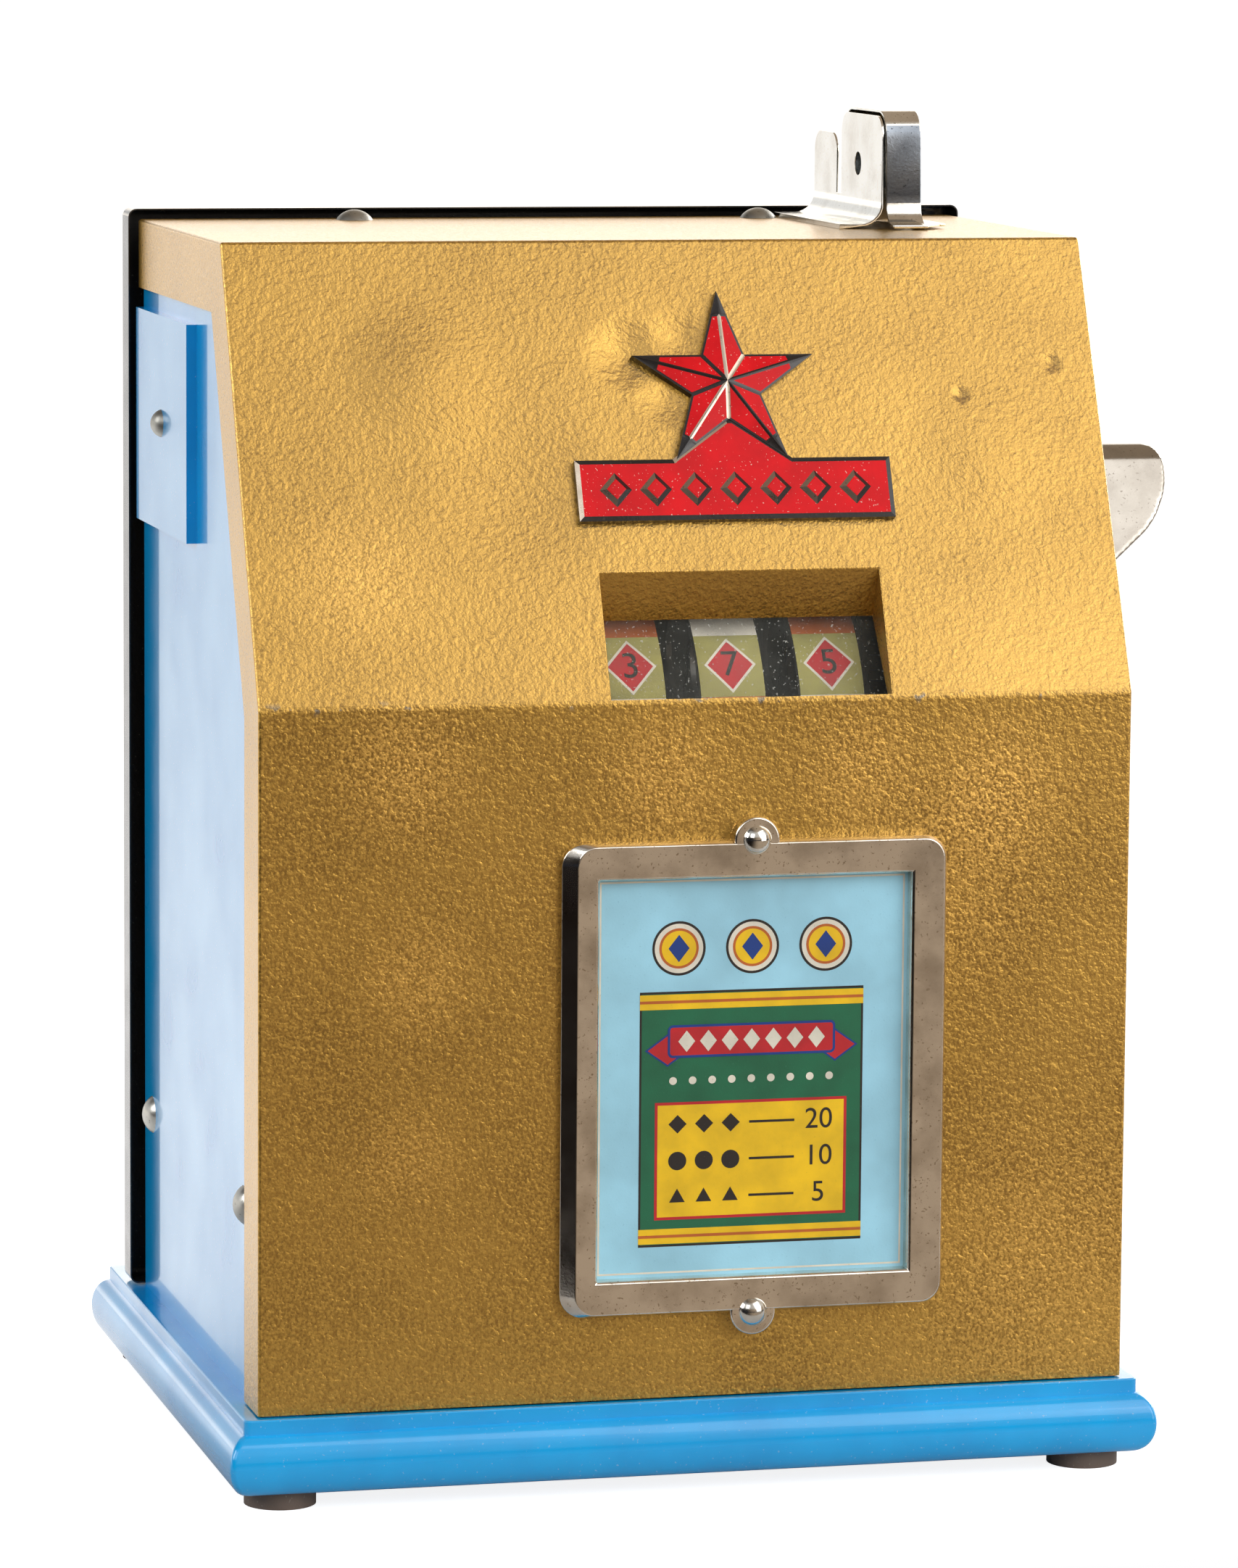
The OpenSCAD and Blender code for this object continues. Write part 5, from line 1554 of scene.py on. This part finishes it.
@dataclass
class Press:
    """Draws flat inks, with X across the sheet, Y up it and Z out of it, and keeps what it drew."""

    palette: tuple[Finish, ...]
    layer: float = 0.04 * MM
    marks: list[Piece] = field(default_factory=list)

    def ink(self, piece: Piece, finish: Finish) -> Piece:
        """Inks a whole mark and keeps it.

        Args:
            piece: The mark.
            finish: Its ink.

        Returns:
            The mark.
        """
        dress(piece, *self.palette)
        paint(piece, self.palette.index(finish), everything)
        self.marks.append(piece)
        return piece

    def edge(self, piece: Piece, width: float, finish: Finish) -> None:
        """Draws a line of another ink round a flat mark of one face.

        Args:
            piece: The mark.
            width: Width of the line.
            finish: The line's ink.
        """
        with editing(piece):
            pick(Part.FACES, everything)
            bpy.ops.mesh.inset(thickness=width)
            inner = picked(piece)
        for face in piece.data.polygons:
            if face.index not in inner:
                face.material_index = self.palette.index(finish)

    def mark(self, corners: int, half: Pair, middle: Pair, finish: Finish, layer: int = 1) -> Piece:
        """Draws a lozenge, disc or other regular mark.

        Args:
            corners: Number of its corners.
            half: Half its width and height.
            middle: Its middle.
            finish: Its ink.
            layer: How many inks lie under it, and itself.

        Returns:
            The mark.
        """
        piece = start(
            "mark", bpy.ops.mesh.primitive_circle_add, (*half, 1), vertices=corners, radius=1,
            fill_type="NGON", location=(*middle, layer * self.layer))
        return self.ink(piece, finish)

    def panel(self, low: Pair, high: Pair, finish: Finish, layer: int = 1, corner: float = 0.0) -> Piece:
        """Draws a rectangle, with round corners if asked.

        Args:
            low: Lower left corner.
            high: Upper right corner.
            finish: Its ink.
            layer: How many inks lie under it, and itself.
            corner: Radius of its corners.

        Returns:
            The panel.
        """
        middle = [(a + b) / 2 for a, b in zip(low, high)]
        piece = start(
            "panel", bpy.ops.mesh.primitive_plane_add, (high[0] - low[0], high[1] - low[1], 1), size=1,
            location=(*middle, layer * self.layer))
        if corner:
            with editing(piece):
                pick(Part.VERTS, everything)
                bpy.ops.mesh.bevel(offset=corner, segments=6, affect="VERTICES")
        return self.ink(piece, finish)

    def figure(self, text: str, size: float, middle: Pair, finish: Finish, layer: int = 1) -> Piece:
        """Sets a plain number.

        Args:
            text: The number's figures.
            size: Height of the type.
            middle: Its middle.
            finish: Its ink.
            layer: How many inks lie under it, and itself.

        Returns:
            The number.
        """
        bpy.ops.object.select_all(action="DESELECT")
        bpy.ops.object.text_add(location=(*middle, layer * self.layer))
        type_set = bpy.context.object.data
        type_set.body = text
        type_set.size = size
        type_set.align_x = "CENTER"
        type_set.align_y = "CENTER"
        bpy.ops.object.convert(target="MESH")
        return self.ink(settle("figure"), finish)


@dataclass
class CardPrint:
    """Generic award card: three discs over a green table with a ribbon and a yellow plate of numbers."""

    half_w: float = 43.6 * MM
    half_h: float = 55.0 * MM
    line: float = 0.5 * MM
    disc: float = 7.6 * MM
    disc_up: float = 36.0 * MM
    disc_pitch: float = 21.0 * MM
    disc_line: float = 0.7 * MM
    ring: float = 0.74
    jewel: Pair = (3.0 * MM, 3.8 * MM)
    table: Box = (-32.0 * MM, -47.5 * MM, 32.0 * MM, 24.0 * MM)
    table_line: float = 0.6 * MM
    band: float = 4.2 * MM
    band_in: float = 0.8 * MM
    band_rule: float = 0.4 * MM
    ribbon: Pair = (24.0 * MM, 4.6 * MM)
    ribbon_up: float = 10.0 * MM
    ribbon_corner: float = 1.5 * MM
    ribbon_line: float = 0.7 * MM
    ribbon_mark: Pair = (2.4 * MM, 3.0 * MM)
    ribbon_pitch: float = 6.2 * MM
    tail: float = 6.5 * MM
    tail_drop: float = 2.4 * MM
    tail_line: float = 0.5 * MM
    pearl: Pair = (1.1 * MM, 1.1 * MM)
    pearl_pitch: float = 5.6 * MM
    pearl_drop: float = 11 * MM
    plate: Box = (-27.5 * MM, -40.0 * MM, 27.5 * MM, -7.0 * MM)
    plate_line: float = 0.8 * MM
    mark: Pair = (2.6 * MM, 2.6 * MM)
    mark_in: float = 6.5 * MM
    mark_pitch: float = 7.6 * MM
    rule: float = 0.35 * MM
    rule_in: Pair = (27 * MM, 15 * MM)
    type_size: float = 8.2 * MM
    type_in: float = 8 * MM
    rows: tuple[tuple[int, str], ...] = ((4, "20"), (24, "10"), (3, "5"))
    press: Press = field(default_factory=lambda: Press(
        (INK_WHITE, INK_RED, INK_YELLOW, INK_GREEN, INK_BLUE, INK_ORANGE, INK_DARK)))

    def build(self) -> None:
        """Prints the card flat and lays it on the card's face."""
        self.border()
        self.discs()
        self.table_field()
        self.ribbons()
        self.award()
        printed = join("award_card_print", self.press.marks)
        low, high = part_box("award_card")
        middle = (low + high) / 2
        lay(printed, Matrix.Translation((middle.x, low.y, middle.z)) @ FRONT_TURN)
        hand_over(printed, "card_print")

    def border(self) -> None:
        """Draws the white line round the card as four thin bars."""
        press = self.press
        w, h, t = self.half_w, self.half_h, self.line
        press.panel((-w, h - t), (w, h), INK_WHITE)
        press.panel((-w, -h), (w, t - h), INK_WHITE)
        press.panel((-w, t - h), (t - w, h - t), INK_WHITE)
        press.panel((w - t, t - h), (w, h - t), INK_WHITE)

    def discs(self) -> None:
        """Draws three ringed discs over the table."""
        press = self.press
        ring = self.ring * self.disc
        for i in (-1, 0, 1):
            spot = (i * self.disc_pitch, self.disc_up)
            press.edge(press.mark(48, (self.disc, self.disc), spot, INK_WHITE), self.disc_line, INK_DARK)
            press.edge(press.mark(40, (ring, ring), spot, INK_YELLOW, 2), self.disc_line, INK_ORANGE)
            press.mark(4, self.jewel, spot, INK_BLUE, 3)

    def table_field(self) -> None:
        """Draws the green field with yellow bands and orange rules."""
        press = self.press
        left, low, right, high = self.table
        press.edge(press.panel((left, low), (right, high), INK_GREEN), self.table_line, INK_DARK)
        for y in (low + self.band_in, high - self.band_in - self.band):
            press.panel((left, y), (right, y + self.band), INK_YELLOW, 2)
            middle = y + self.band / 2
            press.panel((left, middle - self.band_rule), (right, middle + self.band_rule), INK_ORANGE, 3)

    def ribbons(self) -> None:
        """Draws the ribbon with its tails and lozenges, and the row of pearls under it."""
        press = self.press
        w, h = self.ribbon
        up = self.ribbon_up
        for side in (-1, 1):
            spot = (side * w, up - self.tail_drop)
            press.edge(press.mark(4, (self.tail, h), spot, INK_RED, 2), self.tail_line, INK_BLUE)
        body = press.panel((-w, up - h), (w, up + h), INK_RED, 3, self.ribbon_corner)
        press.edge(body, self.ribbon_line, INK_BLUE)
        for i in range(-3, 4):
            press.mark(4, self.ribbon_mark, (i * self.ribbon_pitch, up), INK_WHITE, 4)
        for i in range(-4, 5):
            press.mark(20, self.pearl, (i * self.pearl_pitch, up - self.pearl_drop), INK_WHITE, 2)

    def award(self) -> None:
        """Draws the yellow plate: in each row three marks, a rule and a number."""
        press = self.press
        left, low, right, high = self.plate
        press.edge(press.panel((left, low), (right, high), INK_YELLOW, 2), self.plate_line, INK_RED)
        pitch = (high - low - 2 * MM) / len(self.rows)
        start_x, end_x = left + self.rule_in[0], right - self.rule_in[1]
        for row, (corners, number) in enumerate(self.rows):
            y = high - MM - (row + 0.5) * pitch
            for i in range(3):
                press.mark(corners, self.mark, (left + self.mark_in + i * self.mark_pitch, y), INK_DARK, 3)
            press.panel((start_x, y - self.rule), (end_x, y + self.rule), INK_DARK, 3)
            press.figure(number, self.type_size, (right - self.type_in, y), INK_DARK, 3)


@dataclass
class ReelBank:
    """Three paper strips printed with bands, lozenges and plain numbers, wrapped on their drums."""

    radius: float = 48.06 * MM
    paper: float = 0.3 * MM
    width: float = 18.4 * MM
    cells: int = 12
    rows: int = 12
    band_rows: int = 3
    phase: float = 21.0
    lozenge: Pair = (7.4 * MM, 8.4 * MM)
    lozenge_line: float = 0.7 * MM
    figure: float = 11 * MM
    seam: float = 0.01 * MM
    reels: tuple[tuple[Body, str], ...] = (
        (Body.LEFT_REEL, "352716483527"),
        (Body.MIDDLE_REEL, "741863257418"),
        (Body.RIGHT_REEL, "536274815362"),
    )

    def build(self) -> None:
        """Prints and wraps the strips one after another."""
        for i, (body, figures) in enumerate(self.reels):
            self.strip(i, body, figures)

    @property
    def outer(self) -> float:
        """Radius of a strip's printed face."""
        return self.radius + self.paper

    def strip(self, i: int, body: Body, figures: str) -> None:
        """Makes one strip: bands on paper, then its inks, all wrapped and joined.

        Args:
            i: Number of the reel.
            body: Body that it rides on.
            figures: The numbers on its cells.
        """
        press = Press((PAPER, INK_ORANGE, INK_WHITE, INK_RED, INK_DARK))
        length = 2 * math.pi * self.outer
        pitch = length / self.cells
        step = pitch / self.rows
        paper = start(
            "strip_paper", bpy.ops.mesh.primitive_grid_add, (self.width, length, 1), x_subdivisions=1,
            y_subdivisions=self.cells * self.rows, size=1, location=(0, length / 2, 0))
        dress(paper, *press.palette)
        band = (self.rows - self.band_rows) * step
        paint(paper, 1, lambda m, w: m.y % pitch > band and int(m.y / pitch) % 2 == i % 2)
        paint(paper, 2, lambda m, w: m.y % pitch > band and int(m.y / pitch) % 2 != i % 2)
        for cell in range(self.cells):
            spot = (0.0, (cell + 0.5) * pitch - self.band_rows * step / 2)
            press.edge(press.mark(4, self.lozenge, spot, INK_RED), self.lozenge_line, INK_WHITE)
            press.figure(figures[cell], self.figure, spot, INK_DARK, 2)
        inks = join("strip_inks", press.marks)
        with editing(inks):
            for row in range(1, self.cells * self.rows):
                cut(Y * (row * step), Y)
        self.wrap(paper, i)
        self.wrap(inks, i)
        with editing(paper):
            weld(self.seam)
            face_outwards()
        thicken(paper, self.paper)
        strip = join(f"printed_strip_{i + 1}", [paper, inks])
        hand_over(strip, "strip_print", f"reel_strip_{i + 1}", body=body)

    def wrap(self, piece: Piece, i: int) -> None:
        """Rolls flat work round its drum.

        Args:
            piece: Mesh with X across the strip, Y along it and Z out of it.
            i: Number of the reel.
        """
        low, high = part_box(f"reel_strip_{i + 1}")
        middle = (low + high) / 2
        for vert in piece.data.vertices:
            across, along, out = vert.co
            turn = math.radians(self.phase) + along / self.outer
            reach = self.outer + out
            vert.co = middle + Vector((across, -math.cos(turn) * reach, math.sin(turn) * reach))
        piece.data.update()


@dataclass
class BackDoor:
    """Black sheet-metal pan that closes the back."""

    sheet: float = 1.2 * MM
    bend: float = 2.5 * MM

    def build(self) -> None:
        """Opens a block's front, rounds its bends and gives it a wall."""
        low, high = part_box("back_door")
        pan = block("door_pan", low, high)
        with editing(pan):
            pick(Part.FACES, lambda m, w: w.y < -ALONG)
            bpy.ops.mesh.delete(type="FACE")
            round_off(lambda m, w: m.y > high.y - NEAR or abs(w.y) > ALONG, self.bend, 5)
        thicken(pan, self.sheet)
        hand_over(pan, "black_wrinkle", "back_door", body=Body.DOOR)


@dataclass
class ReturnSpring:
    """Wound compression spring that lifts the handle's gear."""

    wire: float = 0.65 * MM
    turns: int = 24
    steps: int = 18
    keep: float = 0.8278
    smooth: float = 60.0

    def build(self) -> None:
        """Screws a wire's section up into a coil."""
        low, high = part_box("handle_spring")
        middle = (low + high) / 2
        reach = (high.x - low.x) / 2 - self.wire
        coil = start(
            "return_spring_coil", bpy.ops.mesh.primitive_circle_add, vertices=10, radius=self.wire,
            location=X * reach, rotation=(math.pi / 2, 0, 0))
        climb = (high.z - low.z - 2 * self.wire) / self.turns
        apply(coil, "SCREW", axis="Z", angle=2 * math.pi, iterations=self.turns, screw_offset=climb,
              steps=self.steps, render_steps=self.steps)
        with editing(coil):
            bpy.ops.mesh.select_mode(type=Part.EDGES.value)
            bpy.ops.mesh.select_non_manifold(extend=False)
            bpy.ops.mesh.edge_face_add()
            face_outwards()
        lay(coil, Matrix.Translation((middle.x, middle.y, low.z + self.wire)))
        hand_over(coil, "zinc_steel", "handle_spring", smooth=self.smooth)
        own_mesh(coil)


def dress_solids() -> None:
    """Gives every CAD node the finish of its slot in the record."""
    for row in frame["record"]["subparts"]:
        node = frame["nodes"].get(row["node"])
        if node is not None:
            dress(node, SLOT_FINISH[row["material_slot"]])
            log.info("%s: finish %s", row["node"], row["material_slot"])


def main() -> None:
    """Builds the pieces in order."""
    logging.basicConfig(level=logging.INFO, format="%(name)s: %(message)s")
    Studio().build()
    dress_solids()
    assemblies = (
        BaseBoard(), CaseShell(), CardDisplay(), CardPrint(), Badge(), CoinHead(), ThumbLever(), ReelBank(),
        BackDoor(), ReturnSpring(),
    )
    for assembly in assemblies:
        assembly.build()


if __name__ == "__main__":
    main()
